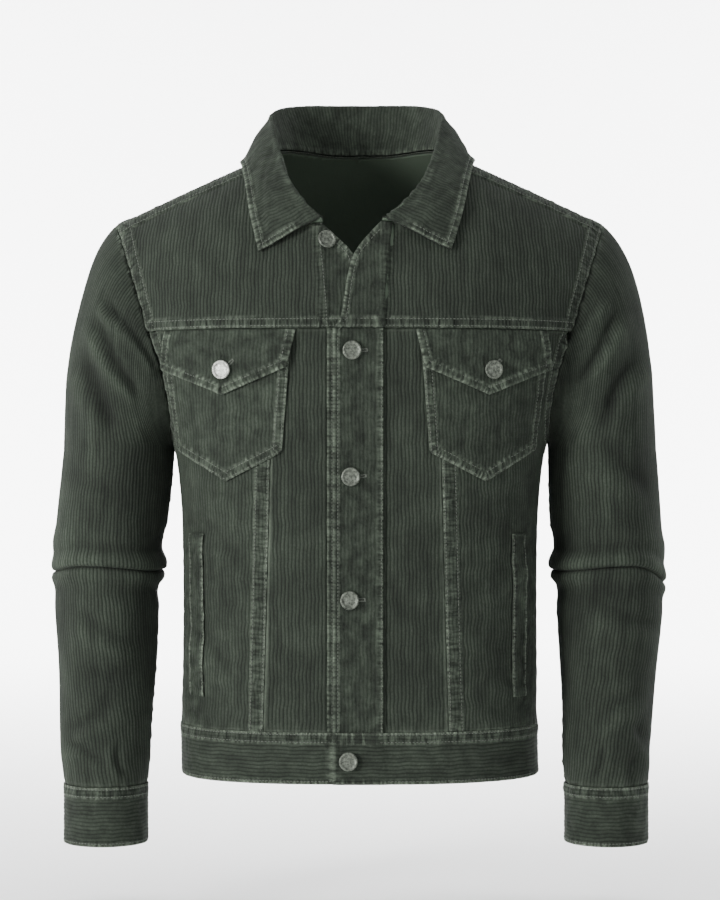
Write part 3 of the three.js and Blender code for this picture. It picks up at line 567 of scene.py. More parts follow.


# How a seam shapes the cloth near it: a groove at its edge, a raised band, a dent at each row of stitches and
# puckers. It lightens the cloth at its edges, partly for abrasion, partly as painted highlight on raised edges.
# Where a point lies in the band beside the nearest seam goes to the material, which draws its finest puckers
# as bumps and as painted light and shade.
def seamRelief(points, seams, seed):
    rise, wearAndHighlight, flatten, inBand = (np.zeros(points.shape[:-1]) for _ in range(4))
    place, nearest = np.zeros(points.shape[:-1] + (2,)), np.full(points.shape[:-1], 9.0)
    for k, s in enumerate(seams):
        d, t = nearLine(points, s["line"])
        wide = s.get("band", 9.0)
        bumps = uneven(t, (8.7, 13.1, 21.3), seed + k * 3.1)
        within = ease((wide + 2 - d) / 3)
        rise += 1.2 * s.get("raise", 0.5) * within - s.get("groove", 0.5) * np.exp(-((d / 1.1) ** 2))
        rise += 1.25 * s.get("pucker", 0.55) * bumps * np.exp(-((d / (wide * 1.15)) ** 4))
        rise -= 0.9 * np.exp(-(((d - s.get("step", -99)) / 1.2) ** 2))
        for row in s.get("rows", ()):
            rise -= 0.42 * np.exp(-(((d - row) / 0.9) ** 2))
        lastRow = max(s.get("rows") or (0.0,))
        # edges lightened partly for abrasion and partly as painted highlight on the raised seam edges
        wornAndHighlit = np.exp(-(((d - 0.9) / 1.2) ** 2)) + 0.22 * within * np.clip(0.5 + 0.5 * bumps, 0, 1)
        wornAndHighlit += 0.7 * (lastRow > 4) * np.exp(-(((d - lastRow - 1.3) / 0.9) ** 2))
        wearAndHighlight = np.maximum(wearAndHighlight, np.clip(wornAndHighlit * s.get("wornAndHighlit", 1.0), 0, 1))
        flatten = np.maximum(flatten, np.maximum(np.exp(-((d / 1.5) ** 2)), 0.45 * within))
        if s.get("rows") or s.get("ladder"):
            closer = d / wide < nearest
            nearest = np.where(closer, d / wide, nearest)
            place[closer] = np.stack([t + 97 * k + 31 * seed, d], -1)[closer]
            inBand = np.maximum(inBand, ease((wide + 3.5 - d) / 6) * s.get("ladder", 1.0))
    return rise, wearAndHighlight, flatten, inBand, place


# A cut piece of corduroy: its grid is set on the smooth body by at(s, v), folded by foldOf(points, normals, s, v)
# and given wales, seams and stitches.
def cutPiece(spec, grid, at, vStep, foldOf, materials):
    name, flip, aside = spec["name"], spec.get("flip", False), spec.get("aside", np.ones(3))
    rows, s = grid["rows"], grid["s"]
    v = rows + 0 * s
    points = at(s, v)
    lengths = np.linalg.norm(np.diff(points, axis=1), axis=-1)
    whole = grid["ids"] // len(rows) == np.arange(len(s))[:, None]
    lengths = np.where(whole[:, 1:] & whole[:, :-1], lengths, np.nan)
    run = np.r_[0, np.cumsum(np.nan_to_num(np.nanmedian(lengths, axis=0)))]
    # the wales waver a little, but not at the edges
    toEdge = np.minimum(s - s[0], s[-1] - s)
    if grid["gap"] is not None:
        toEdge = np.minimum(toEdge, np.where(grid["gap"] > 0, np.abs(s) - grid["gap"], 99))
    phase = spec.get("seed", 1) * 1.3
    waver = np.sin(run / 8.3 + s / 13 + phase) + 0.8 * np.sin(run / 4.4 - s / 9 + 2 * phase)
    waver = waver + 0.5 * np.sin(run / 2.7 + s / 21)
    points = at(s + 0.34 * spec.get("waver", 1.0) * waver * ease(toEdge / 5), v)
    normals = surfaceNormals(at, s, v, vStep)
    coarseV = rows + 0 * grid["coarseS"]
    under, underNormals = at(grid["coarseS"], coarseV), surfaceNormals(at, grid["coarseS"], coarseV, vStep)
    if spec.get("inward"):
        normals, underNormals = -normals, -underNormals
    limit = spec.get("thick", lambda p, v: (-cloth, 0.0))
    low, high = limit(under, coarseV)[0], limit(points, v)[1]
    rise, wearAndHighlight, flatten, inBand, seamPlace = seamRelief(points, spec.get("seams", []), spec.get("seed", 1))
    wave = 0.5 - 0.5 * np.cos(2 * math.pi * s / pitch)
    depth = waleDepth * spec.get("wale",
                                 1.0) * (1 + 0.25 * np.sin(run / 6.1 + s * 0.9) * np.sin(s / 5.3 + run / 17))
    relief = -depth * (1 - wave ** 0.75) * (1 - flatten)
    calm = spec["calm"](points) if "calm" in spec else 1.0
    crumple = spec.get("crumple", 0.2)
    crumple = (crumple(points) if callable(crumple) else crumple) + 0 * s
    rumple = np.sin(s / 2.9 + run / 5.3 + phase) * np.sin(run / 4.3 - s / 6.1)
    rumple = rumple + 0.7 * np.sin(run / 3.1 + s / 8.7 + phase)
    shaped = np.maximum(rise * calm + relief + 0.34 * crumple * rumple * ease(toEdge / 6), -1.2)
    folds = foldOf(points, normals, s, v)
    outer = points + normals * (high + folds + shaped)[..., None]
    inner = under + underNormals * (low + foldOf(under, underNormals, grid["coarseS"], coarseV))[..., None]
    if "sag" in spec:
        outer[..., 2] += spec["sag"](points, s, v)
        inner[..., 2] += spec["sag"](under, grid["coarseS"], coarseV)
    outer, inner = outer * aside, inner * aside
    uv = np.stack([s / pitch, run / pitch + 0 * s], -1)
    # the fold mask darkens the cloth's colour in the hollows of folds and creases and lightens it on their
    # ridges: painted shade and painted light; each piece's own tone is added to it
    masks = {"seamWearAndHighlight": wearAndHighlight, "seamBand": inBand * calm, "crumple": crumple,
             # each piece's tone lightens or darkens all of it: partly faded cloth, partly painted light and shade
             # for how the light falls on that piece
             "foldShadeAndPieceTone": np.clip(folds / 4 + spec.get("pieceFadeAndLight", 0.0), -1, 1)}
    piece = sheetMesh(name, grid, outer, inner, materials, uv, seamPlace, masks, flip)
    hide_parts(spec["node"])
    quads, tris = gridFaces(grid["ids"], grid["gap"], grid["middle"])
    flat = points.reshape(-1, 3)
    corners = np.concatenate([quads[:, :3], quads[:, [0, 2, 3]], tris])
    a, b, c = (flat[corners[:, k]] for k in range(3))
    area = 0.5e-6 * np.linalg.norm(np.cross(b - a, c - a), axis=-1).sum()
    wide, tall = (s.max() - s.min()) * 0.001, np.nansum(lengths, axis=1).max() * 0.001
    print(name, "cut", round(wide * 1000), "by", round(tall * 1000), "mm, area", round(area, 4))
    rowsOfStitches = [(part, row) for part in spec.get("seams", []) for row in part.get("rows", ())]
    if rowsOfStitches:
        used = np.unique(np.concatenate([quads.ravel(), tris.ravel()]))
        face, smooth = outer.reshape(-1, 3)[used], (normals * aside).reshape(-1, 3)[used]
        tree = KDTree(len(face))
        finished[name] = (tree, face, smooth)
        for k, p in enumerate(face):
            tree.insert(p, k)
        tree.balance()
        centre = (points * aside).reshape(-1, 3)[used].mean(0)
        for part, row in rowsOfStitches:
            if "towards" in part:
                centre = np.array(part["towards"]) * aside
            stitch(spec.get("group", name), part["line"] * aside, row, tree, face, smooth, centre)
    return piece


# The cloth hangs a little unevenly all round the body, the same for each layer of it.
def bodyHang(p):
    bearing = np.arctan2(p[..., 0], -p[..., 1])
    z = p[..., 2]
    waves = np.sin(3 * bearing + z / 41 + 0.4) + np.sin(5 * bearing - z / 57 + 1.9)
    waves = waves + 0.7 * np.sin(8 * bearing + z / 33 + 2.6)
    return 0.55 * waves * ease((z - waistZ) / -30 + 1.6)


def bodyFold(p, normals, s, v):
    return creaseRise(p, normals[..., 1]) + bodyHang(p)


def overStep(x):
    return (band + lap) * ease((overSeamX + 10 - x) / 16)


# The placket and the button stand run on over the yokes to the neck: z and x of their sewn edges.
overLine = np.array([(-134, 22.6), (-100, 24.0), (-70, 26.5), (-38, 30.5)])
underLine = np.array([(-134, -33.5), (-111, -34.6), (-78, -37.5), (-38, -42.0)])


def yokeStep(p):
    edgeX = np.interp(p[..., 2], overLine[:, 0], overLine[:, 1])
    return mix(overStep(p[..., 0]) * 0.35, band + lap, ease((edgeX + 0.8 - p[..., 0]) / 1.6))


# The cloth is most rumpled round the hand pockets, where it has been pulled and washed.
def pocketRumple(p):
    beside = np.exp(-(((np.abs(p[..., 0]) - 163) / 15) ** 2))
    return 0.35 + 0.75 * beside * ease((p[..., 2] + 545) / 30) * ease((-300 - p[..., 2]) / 50)


def seamX(front, z):
    return readTable([-520, -264, -134], [93, 86, 82], z) + front["shift"]


clothLook = bpy.data.materials.new("washedCorduroy")
insideLook = bpy.data.materials.new("corduroyWrongSide")
threadLook = bpy.data.materials.new("tonalThread")
pewterLook = bpy.data.materials.new("dullPewter")
brightLook = bpy.data.materials.new("lighterPewter")
outside = [clothLook, insideLook]

# the panels' feet reach into the waistband's wall, so nothing shows through the seam
panelTop, panelFoot = frontYokeZ - seam, waistZ - 0.8
centreGap, sideGap = 0.6, 0.25
legs = np.linspace(panelFoot, panelTop, 60)

# How each kind of edge is sewn: its rows of stitches and the band of allowance, measured from the edge, how far
# the band is raised and puckered, the groove along the edge, and how much its edge and bars are lightened, partly
# for abrasion and partly as painted highlight.
edges = {
    "felled": {"rows": (2.0, 13.0), "band": 14, "raise": 0.45, "pucker": 0.7},
    "armhole": {"rows": (2.6, 13.0), "band": 14, "raise": 0.5, "pucker": 0.6},
    "yokeFoot": {"rows": (2.0, 8.4), "band": 9.5, "raise": 0.35, "pucker": 0.75, "groove": 0.3},
    "shoulder": {"rows": (8.0, 20.6), "band": 22, "raise": 1.0, "pucker": 0.7, "step": 22.6},
    "frontNeck": {"rows": (5.0,), "band": 6, "raise": 0.2, "pucker": 0.5, "groove": 0.5},
    "underLap": {"band": 7, "raise": 0, "pucker": 0.35, "groove": 0.2, "wornAndHighlit": 0.5},
    "panelFoot": {"band": 7, "raise": 0, "pucker": 0.6, "wornAndHighlit": 0.7},
    "underPanel": {"band": 3, "raise": 0.2, "pucker": 0.5, "wornAndHighlit": 0.8},
    "closed": {"band": 5, "raise": 0, "pucker": 0.4, "wornAndHighlit": 0.6},
    "underCollar": {"band": 5, "raise": 0, "pucker": 0.3},
    "underYoke": {"band": 4, "raise": 0, "pucker": 0.3},
    "welt": {"rows": (1.8,), "band": 4, "raise": 0.2, "pucker": 0.5},
    "stripOuter": {"rows": (5.0,), "band": 7, "raise": 0.2, "pucker": 0.7, "groove": 0.9, "wornAndHighlit": 0.75,
                   "ladder": 0.7},
    "stripInner": {"rows": (1.8,), "band": 5, "raise": 0.3, "pucker": 0.7, "groove": 0.9},
    "trim": {"rows": (2.2,), "band": 5, "raise": 0.1, "pucker": 0.6, "groove": 0.7, "wornAndHighlit": 0.15,
             "ladder": 0.6, "towards": (0, -100, -80)},
    "bandTop": {"rows": (2.0, 9.0), "band": 10, "raise": 0.3, "pucker": 0.8},
    "hem": {"rows": (3.0,), "band": 4, "raise": 0.1, "pucker": 0.4, "groove": 0.9},
    "bandEnd": {"rows": (4.6,), "band": 5, "raise": 0.2, "pucker": 0.4, "groove": 0.9},
    "sleeveHead": {"band": 5, "raise": 0.1, "pucker": 0.5, "groove": 0.6, "wornAndHighlit": 0.7},
    "sleeveFoot": {"band": 8, "raise": 0, "pucker": 0.7, "groove": 0.8, "wornAndHighlit": 0.7},
    "leaf": {"rows": (5.6,), "band": 7, "raise": 0.2, "pucker": 0.5, "groove": 0.8},
    "collarFoot": {"rows": (2.4,), "band": 4, "raise": 0, "pucker": 0.3},
}


def sewn(kind, at, s, v):
    return {"line": lineOf(at, s, v), **edges[kind]}


# A wall of cloth between two heights over the smooth form.
def wall(low, high):
    return lambda p, v: (low + 0 * v, high + 0 * v)


def level(value):
    return lambda v: value + 0 * v


# Grids run from the lower arc to the higher one, so a right-hand piece has its edges the other way round.
def inOrder(sign, inner, outer):
    return (inner, outer) if sign > 0 else (outer, inner)


def panelRows(top):
    return np.unique(np.r_[rowsBetween(panelFoot, top, 4.3), underarmZ + 0.3, underarmZ + 1.2, underarmZ + 3])


# pockets, flaps: x of the inner and outer edges at the top and the foot, and how the foot is pointed
pocketCut = {"top": -148.0, "inner": (66, 74), "innerFoot": -252, "tipX": 128, "tip": -280,
             "outer": (190, 177), "outerFoot": -250}
flapCut = {"top": -135.0, "inner": (61, 69), "innerFoot": -171, "tipX": 130, "tip": -197,
           "outer": (188, 190), "outerFoot": -171}


def patchFoot(cut, x, shift):
    xs = [cut["inner"][1] + shift, cut["tipX"] + shift, cut["outer"][1] + shift]
    return np.interp(np.abs(x), xs, [cut["innerFoot"], cut["tip"], cut["outerFoot"]])


def patchEdge(cut, edge, z, shift):
    foot = cut["innerFoot"] if edge == "inner" else cut["outerFoot"]
    down = np.clip((cut["top"] - z) / (cut["top"] - foot), 0, 1)
    return mix(cut[edge][0], cut[edge][1], down) + shift


# What a pocket and its flap hide of the panels, where the cloth below lies flat.
def covered(points, front):
    x, z = points[..., 0] * front["sign"], points[..., 2]
    inner, outer = (patchEdge(pocketCut, edge, z, front["shift"]) for edge in ("inner", "outer"))
    within = np.minimum(np.minimum(x - inner, outer - x), z - patchFoot(pocketCut, x, front["shift"]))
    return ease(within / 4)


for front in fronts:
    sign, name = front["sign"], front["name"]
    innerX = overSeamX - 5 if front["over"] else underSeamX

    def centreOuter(z):
        return sign * (np.abs(frontArcAtX(seamX(front, z), z)) - centreGap)

    def centreInner(z):
        return frontArcAtX(innerX, z)

    limits = inOrder(sign, centreInner, centreOuter)
    grid = cutGrid(panelRows(panelTop), limits)
    centrePanel = {
        "name": f"frontCentreCloth{name.title()}", "node": f"front_centre_{name}", "seed": 3 + sign,
        "seams": [
            sewn("underPanel", frontBody, centreOuter(legs), legs),
            sewn("underLap", frontBody, np.linspace(centreInner(panelTop), centreOuter(panelTop), 30),
                 panelTop),
            sewn("panelFoot", frontBody, np.linspace(centreInner(panelFoot), centreOuter(panelFoot), 30),
                 panelFoot),
        ],
        "calm": lambda points: 1 - covered(points, front),
    }
    cutPiece(centrePanel, grid, frontBody, 1.0, bodyFold, outside)

    def sideOuter(z):
        return sign * (arcOfTurn(armholeTurn(z, True), z) / flare(z, quarter) - sideGap)

    def sideInner(z):
        return sign * np.abs(frontArcAtX(seamX(front, z), z))

    limits = inOrder(sign, sideInner, sideOuter)
    grid = cutGrid(panelRows(panelTop), limits)
    upper = panelTop - (panelTop - underarmZ) * (1 - np.sin(np.linspace(0, math.pi / 2, 40)))
    lower = np.linspace(panelFoot, underarmZ, 40)
    sidePanel = {
        "name": f"frontSideCloth{name.title()}", "node": f"front_side_{name}", "seed": 7 + sign, "pieceFadeAndLight": 0.12,
        "waver": 1.7, "crumple": pocketRumple,
        "seams": [
            sewn("felled", frontBody, sideInner(legs), legs),
            sewn("armhole", frontBody, sideOuter(upper), upper),
            sewn("closed", frontBody, sideOuter(lower), lower),
            sewn("underLap", frontBody, np.linspace(sideInner(panelTop), sideOuter(panelTop), 40), panelTop),
            sewn("panelFoot", frontBody, np.linspace(sideInner(panelFoot), sideOuter(panelFoot), 40),
                 panelFoot),
        ],
        "calm": lambda points: 1 - covered(points, front),
    }
    cutPiece(sidePanel, grid, frontBody, 1.0, bodyFold, outside)

    # front yoke, from its lapped lower edge to the shoulder seam and the neck: the x of its open edge at some
    # heights, on the over or the under front
    openZ = [-134, -125, -103, -81, -60, -45, -28]
    openX = [-25, -19, -15, -11.5, -5, 6, 20] if front["over"] else [15, 12, 5, -1, -7, -20, -35]

    def neckSide(lift):
        atZ = mix(frontYokeZ, -28, np.asarray(lift) / neckFrontLift)
        below = np.asarray(lift) < neckFrontLift
        x = np.where(below, readTable(openZ, openX, atZ), sign * neckX(lift, front))
        return yokeArcAt(x / armholeX(lift), lift)

    def armSide(lift):
        return sign * (yokeArcAt(1.0, lift) - seam / 2)

    limits = inOrder(sign, neckSide, armSide)
    neckStart = neckFrontLift + np.array([0, 0.02, 0.1, 0.3, 0.7, 1.4, 2.5, 4])
    grid = cutGrid(np.unique(np.r_[rowsBetween(0.15, shoulderLift, 1.7), neckStart]), limits)

    def yokeThick(p, lift):
        x = p[..., 0]
        step = yokeStep(p) if front["over"] else 0 * x
        lapped = 1 - overStep(x) / 6 if front["over"] else ease((-x - 26) / 8)
        return step - cloth, step + 2.2 * lapped * np.interp(lift, [0.15, 3.5, 9], [1, 0.8, 0])

    lifts = np.linspace(0.15, shoulderLift, 60)
    neckEdge = lifts[lifts > neckFrontLift]
    openEdge = lifts[lifts <= neckFrontLift]
    atShoulder = np.linspace(float(neckSide(shoulderLift)), float(armSide(shoulderLift)), 40)
    atFoot = np.linspace(float(neckSide(0.15)), float(armSide(0.15)), 50)
    trimLine = overLine if front["over"] else underLine

    def trimAt(z):
        return np.interp(z, trimLine[:, 0], trimLine[:, 1])

    trimZ = np.linspace(-131, -40, 30)
    trimX = trimAt(trimZ)
    trimLift = np.array([float(liftAt(x, z)) for x, z in zip(trimX, trimZ)])
    trim = frontShoulder(yokeArcAt(trimX / armholeX(trimLift), trimLift), trimLift)
    yokePiece = {
        "name": f"frontYokeCloth{name.title()}", "node": f"front_yoke_{name}", "seed": 11 + sign,
        "thick": yokeThick, "pieceFadeAndLight": -0.12,
        "crumple": lambda p: 0.05 + 0.85 * ease(sign * (trimAt(p[..., 2]) - p[..., 0]) / 3 + 0.5),
        "seams": [
            sewn("yokeFoot", frontShoulder, atFoot, 0.15 + 0 * atFoot),
            sewn("armhole", frontShoulder, armSide(lifts), lifts),
            sewn("shoulder", frontShoulder, atShoulder, shoulderLift + 0 * atShoulder),
            sewn("frontNeck", frontShoulder, neckSide(openEdge), openEdge),
            sewn("underCollar", frontShoulder, neckSide(neckEdge), neckEdge),
            {"line": trim, **edges["trim"]},
        ],
    }
    cutPiece(yokePiece, grid, frontShoulder, 0.5, bodyFold, outside)

    # chest pocket, pointed flap and hand pocket welt
    for cut, node in ((pocketCut, "chest_pocket"), (flapCut, "pocket_flap")):
        isFlap = cut is flapCut
        label = "pocketFlapCloth" if isFlap else "chestPocketCloth"

        def edgeArc(edge, z):
            foot = cut["innerFoot"] if edge == "inner" else cut["outerFoot"]
            beside = patchEdge(cut, edge, z, front["shift"])
            below = np.interp(z, [cut["tip"], foot], [cut["tipX"], cut[edge][1]]) + front["shift"]
            return sign * np.abs(frontArcAtX(np.where(np.asarray(z) < foot, below, beside), z))

        innerEdge, outerEdge = (lambda z: edgeArc("inner", z)), (lambda z: edgeArc("outer", z))
        limits = inOrder(sign, innerEdge, outerEdge)
        grid = cutGrid(rowsBetween(cut["tip"], cut["top"], 2.1 if isFlap else 3.3, 0.04), limits)
        innerHeights = np.linspace(cut["innerFoot"], cut["top"], 24)
        outerHeights = np.linspace(cut["outerFoot"], cut["top"], 24)
        xs = np.linspace(cut["inner"][1] + front["shift"], cut["outer"][1] + front["shift"], 60)
        footZ = patchFoot(cut, xs, front["shift"])
        footLine = frontBody(sign * np.abs(frontArcAtX(xs, footZ)), footZ)
        tip = np.abs(xs - cut["tipX"] - front["shift"]).argmin()
        rows = (6.8,) if isFlap else (2.0, 8.0)
        style = {"rows": rows, "band": 8.5, "raise": 0.5, "pucker": 0.8 if isFlap else 0.65, "groove": 0.9}
        over = pocketLap + cloth + lap

        def patchThick(p, v):
            if not isFlap:
                return pocketLap + 0 * v, pocketLap + cloth + 0 * v
            down = (cut["top"] - v) / (cut["top"] - patchFoot(cut, p[..., 0], front["shift"]))
            stand = np.interp(down, [0, 0.3, 0.6, 0.8, 1], [lap, over, over + 0.2, over + 0.5, over + 0.8])
            return stand, stand + np.interp(down, [0, 0.3], [cloth - 0.3, band - 0.6])

        patch = {
            "name": f"{label}{name.title()}", "node": f"{node}_{name}", "seed": 17 + sign + 5 * isFlap,
            "thick": patchThick, "crumple": 1.0 if isFlap else 0.7, "pieceFadeAndLight": 0.25, "waver": 1.4,
            "seams": [
                {"line": lineOf(frontBody, innerEdge(innerHeights), innerHeights), **style},
                {"line": lineOf(frontBody, outerEdge(outerHeights), outerHeights), **style},
                {"line": footLine[:tip + 1], **style},
                {"line": footLine[tip:], **style},
            ],
        }
        cutPiece(patch, grid, frontBody, 1.0, bodyFold, outside)

    weltFoot, weltTop = -489.0, -331.0
    weltX = sorted([sign * (165 + front["shift"] / 2), sign * (151 + front["shift"] / 2)])
    limits = [lambda z, x=x: frontArcAtX(x, z) for x in weltX]
    grid = cutGrid(rowsBetween(weltFoot, weltTop, 4.0), limits)
    run = np.linspace(weltFoot, weltTop, 40)
    welt = {
        "name": f"handPocketWeltCloth{name.title()}", "node": f"hand_pocket_welt_{name}", "seed": 23 + sign,
        "crumple": 1.1, "pieceFadeAndLight": 0.3, "waver": 2.2, "thick": wall(lap, lap + cloth),
        "seams": [
            sewn("welt", frontBody, limits[0](run), run),
            sewn("welt", frontBody, limits[1](run), run),
        ],
    }
    cutPiece(welt, grid, frontBody, 1.0, bodyFold, outside)

# placket, over the buttoned front, and the button stand under it
for label, node, ends, high, low in (
    ("placketCloth", "placket_left", (overEdgeX, overSeamX), lap + band, lap),
    ("buttonStandCloth", "button_stand_right", (underSeamX + seam, underEdgeX), 0.0, -cloth),
):
    limits = [lambda z, x=x: frontArcAtX(x, z) for x in ends]
    grid = cutGrid(rowsBetween(panelFoot, panelTop, 4.0 if high else 7.0), limits)
    strip = {
        "name": label, "node": node, "seed": 29, "crumple": 1.0, "pieceFadeAndLight": 0.08, "thick": wall(low, high),
        "seams": [
            sewn("stripOuter", frontBody, limits[0](legs), legs),
            sewn("stripInner", frontBody, limits[1](legs), legs),
        ],
    }
    cutPiece(strip, grid, frontBody, 1.0, bodyFold, outside)


# back panel and back yoke
def backOuter(z):
    total = np.interp(z, bodyHeights, ringArcs[:, -1])
    return (total - arcOfTurn(180 - armholeTurn(z, False), z)) / flare(z, backQuarter) - sideGap


backTop = backYokeZ - seam
grid = cutGrid(panelRows(backTop), (lambda z: -backOuter(z), backOuter))
backUpper = backTop - (backTop - underarmZ) * (1 - np.sin(np.linspace(0, math.pi / 2, 40)))
backLower = np.linspace(panelFoot, underarmZ, 40)
across = np.linspace(-float(backOuter(backTop)), float(backOuter(backTop)), 90)
acrossFoot = np.linspace(-float(backOuter(panelFoot)), float(backOuter(panelFoot)), 90)
backSeams = [sewn("underLap", backBody, across, backTop),
             sewn("panelFoot", backBody, acrossFoot, panelFoot)]
for side in (-1, 1):
    backSeams += [
        sewn("armhole", backBody, side * backOuter(backUpper), backUpper),
        sewn("closed", backBody, side * backOuter(backLower), backLower),
    ]
backPanel = {"name": "backPanelCloth", "node": "back_panel", "seed": 31, "seams": backSeams}
cutPiece(backPanel, grid, backBody, 1.0, bodyFold, outside)


def backNeck(rise):
    lift = 180 - np.asarray(rise, float)
    at = np.abs(yokeArcAt(neckX(lift, fronts[1]) / armholeX(lift), lift))
    return np.where(lift > neckBackLift, 0, at)


def backArm(rise):
    return yokeArcAt(1.0, 180 - np.asarray(rise, float)) - seam / 2


backRise = 180 - shoulderLift - 0.24
neckStart = 180 - neckBackLift + np.array([0, 0.1, 0.4, 1.0, 2.0, 3.2])
grid = cutGrid(np.unique(np.r_[rowsBetween(0.02, backRise, 1.8), neckStart]), (lambda v: -backArm(v), backArm),
               hole=backNeck)
rises = np.linspace(0.02, backRise, 70)
neckRises = np.linspace(180 - neckBackLift, backRise, 50)
across = np.linspace(-float(backArm(0.02)), float(backArm(0.02)), 90)
yokeSeams = [sewn("yokeFoot", backShoulder, across, 0.02)]
for side in (-1, 1):
    atShoulder = side * np.linspace(float(backNeck(backRise)), float(backArm(backRise)), 40)
    yokeSeams += [
        sewn("armhole", backShoulder, side * backArm(rises), rises),
        sewn("underCollar", backShoulder, side * backNeck(neckRises), neckRises),
        sewn("underYoke", backShoulder, atShoulder, backRise),
    ]
backYoke = {"name": "backYokeCloth", "node": "back_yoke", "seed": 37, "seams": yokeSeams}
cutPiece(backYoke, grid, backShoulder, 0.5, bodyFold, outside)


# Waistband, in one strip from the buttoned end round to the hidden one. Its wales run along it.
def bandAt(s, v):
    return torso(v, hemZ + np.asarray(s, float))


bandTurns = (float(turnAt(overEdgeX, hemZ)), float(360 + turnAt(underEdgeX, hemZ)))
bandHigh = waistZ - seam / 2 - hemZ
limits = (level(0.0), level(bandHigh))
ringRun = lengthsAlong(torso(np.linspace(*bandTurns, 1200), hemZ)[None])[0]
evenTurns = np.interp(np.linspace(0, ringRun[-1], 290), ringRun, np.linspace(*bandTurns, 1200))
grid = cutGrid(evenTurns, limits)


def bandThick(p, turn):
    step = np.where(turn < 90, overStep(p[..., 0]), 0)
    return 1 + step - band, 1 + step


around = np.interp(np.linspace(0, ringRun[-1], 220), ringRun, np.linspace(*bandTurns, 1200))
waistband = {
    "name": "waistbandCloth", "node": "waistband", "seed": 41, "crumple": 0.5, "pieceFadeAndLight": 0.12,
    "thick": bandThick, "flip": True, "inward": True,
    "seams": [
        sewn("bandTop", bandAt, bandHigh, around),
        sewn("hem", bandAt, 0.0, around),
        sewn("bandEnd", bandAt, np.linspace(0, bandHigh, 12), bandTurns[0]),
    ],
}
cutPiece(waistband, grid, bandAt, 0.5, lambda p, n, s, v: bodyHang(p), outside)

# Sleeves
sleeveRows = np.array([
    (-577, 246.5, -41, 40.5, 42), (-560, 247, -36, 42.5, 44), (-497, 248.5, -24, 46, 49),
    (-419, 250, -10, 51.8, 55), (-367, 249.5, -2, 54, 59), (-330, 248, 2, 55, 62), (-280, 243.5, 4, 55, 65),
    (-250, 241.5, 5, 54.5, 66),
], float)
bicepsZ, elbowZ, sleeveFootZ, cuffFootZ = -250.0, -357.0, -576.0, -632.0
armGap = 0.3  # from the sleeve's or cuff's edge to the seam under the arm
# height, how far it follows the elbow's line, width, and rise at the outer, front, inner and back side
elbowFolds = [
    (-337, 0.6, 12, 2.6, 0.6, -2.6, 0.8),
    (-345, 0.8, 5.5, 0.5, -1.8, -0.8, -0.6),
    (-354.5, 1, 6.2, 3.2, 4.6, 4.4, 2.6),
    (-362.4, 1, 1.8, -2.6, -3.8, -3.2, -2.6),
    (-371, 1, 6.5, 3.0, 1.2, 4.0, 1.8),
    (-387, 0.5, 10, -0.6, -1.0, -2.4, -1.0),
]


def armholeCurve(inFront):
    lifts = np.linspace(90, 0, 200)
    top = shoulder(1.0, lifts if inFront else 180 - lifts)
    seamZ = frontYokeZ if inFront else backYokeZ
    z = mix(seamZ, underarmZ, np.sin(np.linspace(0, math.pi / 2, 200)))[1:]
    turn = armholeTurn(z, inFront)
    side = torso(turn if inFront else 180 - turn, z)
    line = np.concatenate([top, side])
    run = lengthsAlong(line[None])[0]
    places = np.linspace(0, run[-1], 401)
    return np.stack([np.interp(places, run, line[:, k]) for k in range(3)], -1)


armholeLine = np.concatenate([armholeCurve(True), armholeCurve(False)[::-1][1:]])


def sleeveRing(armShare, z, lean):
    a = armShare * 2 * math.pi
    drop = np.clip((bicepsZ - z) / (bicepsZ - sleeveFootZ), 0, 1)
    read = [readTable(sleeveRows[:, 0], sleeveRows[:, k], z) for k in range(1, 5)]
    x = read[0] - lean * drop + read[2] * np.cos(a)
    return np.stack([x, read[1] - read[3] * np.sin(a), z + 0 * x], -1)


def sleevePoint(armShare, down, lean):
    armShare, down = np.broadcast_arrays(np.asarray(armShare, float), np.asarray(down, float))
    place = np.clip(armShare, 0, 1) * (len(armholeLine) - 1)
    start = np.stack([np.interp(place, np.arange(len(armholeLine)), armholeLine[:, k]) for k in range(3)], -1)
    a = armShare * 2 * math.pi
    start[..., 0] += 0.6
    end = sleeveRing(armShare, bicepsZ + 0 * armShare, lean)
    reach = np.linalg.norm(end - start, axis=-1)[..., None]
    aim = np.stack([0.53 + 0.22 * np.cos(a), -0.3 * np.sin(a), 0 * a], -1)
    aim[..., 2] = -np.sqrt(1 - (aim ** 2).sum(-1))
    d = np.clip(down, 0, 1)[..., None]
    cap = start * (1 + 2 * d) * (1 - d) ** 2 + aim * reach * 0.74 * d * (1 - d) ** 2 + end * d * d * (3 - 2 * d)
    cap[..., 2:] += reach * d * d * (1 - d)
    below = sleeveRing(armShare, mix(bicepsZ, sleeveFootZ, np.clip(down - 1, 0, 1)), lean)
    # above the seam its edge turns in under the body's cloth
    tuck = np.clip(-down, 0, 1)[..., None]
    sink = np.stack([-aim[..., 0] * 0.2, np.sin(a) * 0.75, -0.5 - 0.4 * np.cos(a)], -1)
    cap = cap - aim * 2.4 * tuck ** 2 + unit(sink) * 3.2 * ease(tuck * 1.6)
    return np.where((down >= 1)[..., None], below, cap)


# How far the elbow's crease falls, round the arm: it is highest at the front, a little to the outer side.
def elbowFall(a, outerFall):
    u = np.cos(a) - 0.4
    outer = outerFall * (np.maximum(u, 0) / 0.6) ** 2
    return outer + 5 * (np.maximum(-u, 0) / 1.4) ** 1.3 + 0.9 * np.sin(3 * a)


def elbowRise(armShare, z, outerFall):
    a = armShare * 2 * math.pi
    shares = (np.cos(a), np.sin(a), -np.cos(a), -np.sin(a))
    fall, rise = elbowFall(a, outerFall), 0 * z
    for height, follow, width, *rises in elbowFolds:
        total = sum(r * np.maximum(share, 0) ** 2 for r, share in zip(rises, shares))
        rise = rise + total * np.exp(-(((z - height + follow * fall) / width) ** 2))
    return rise


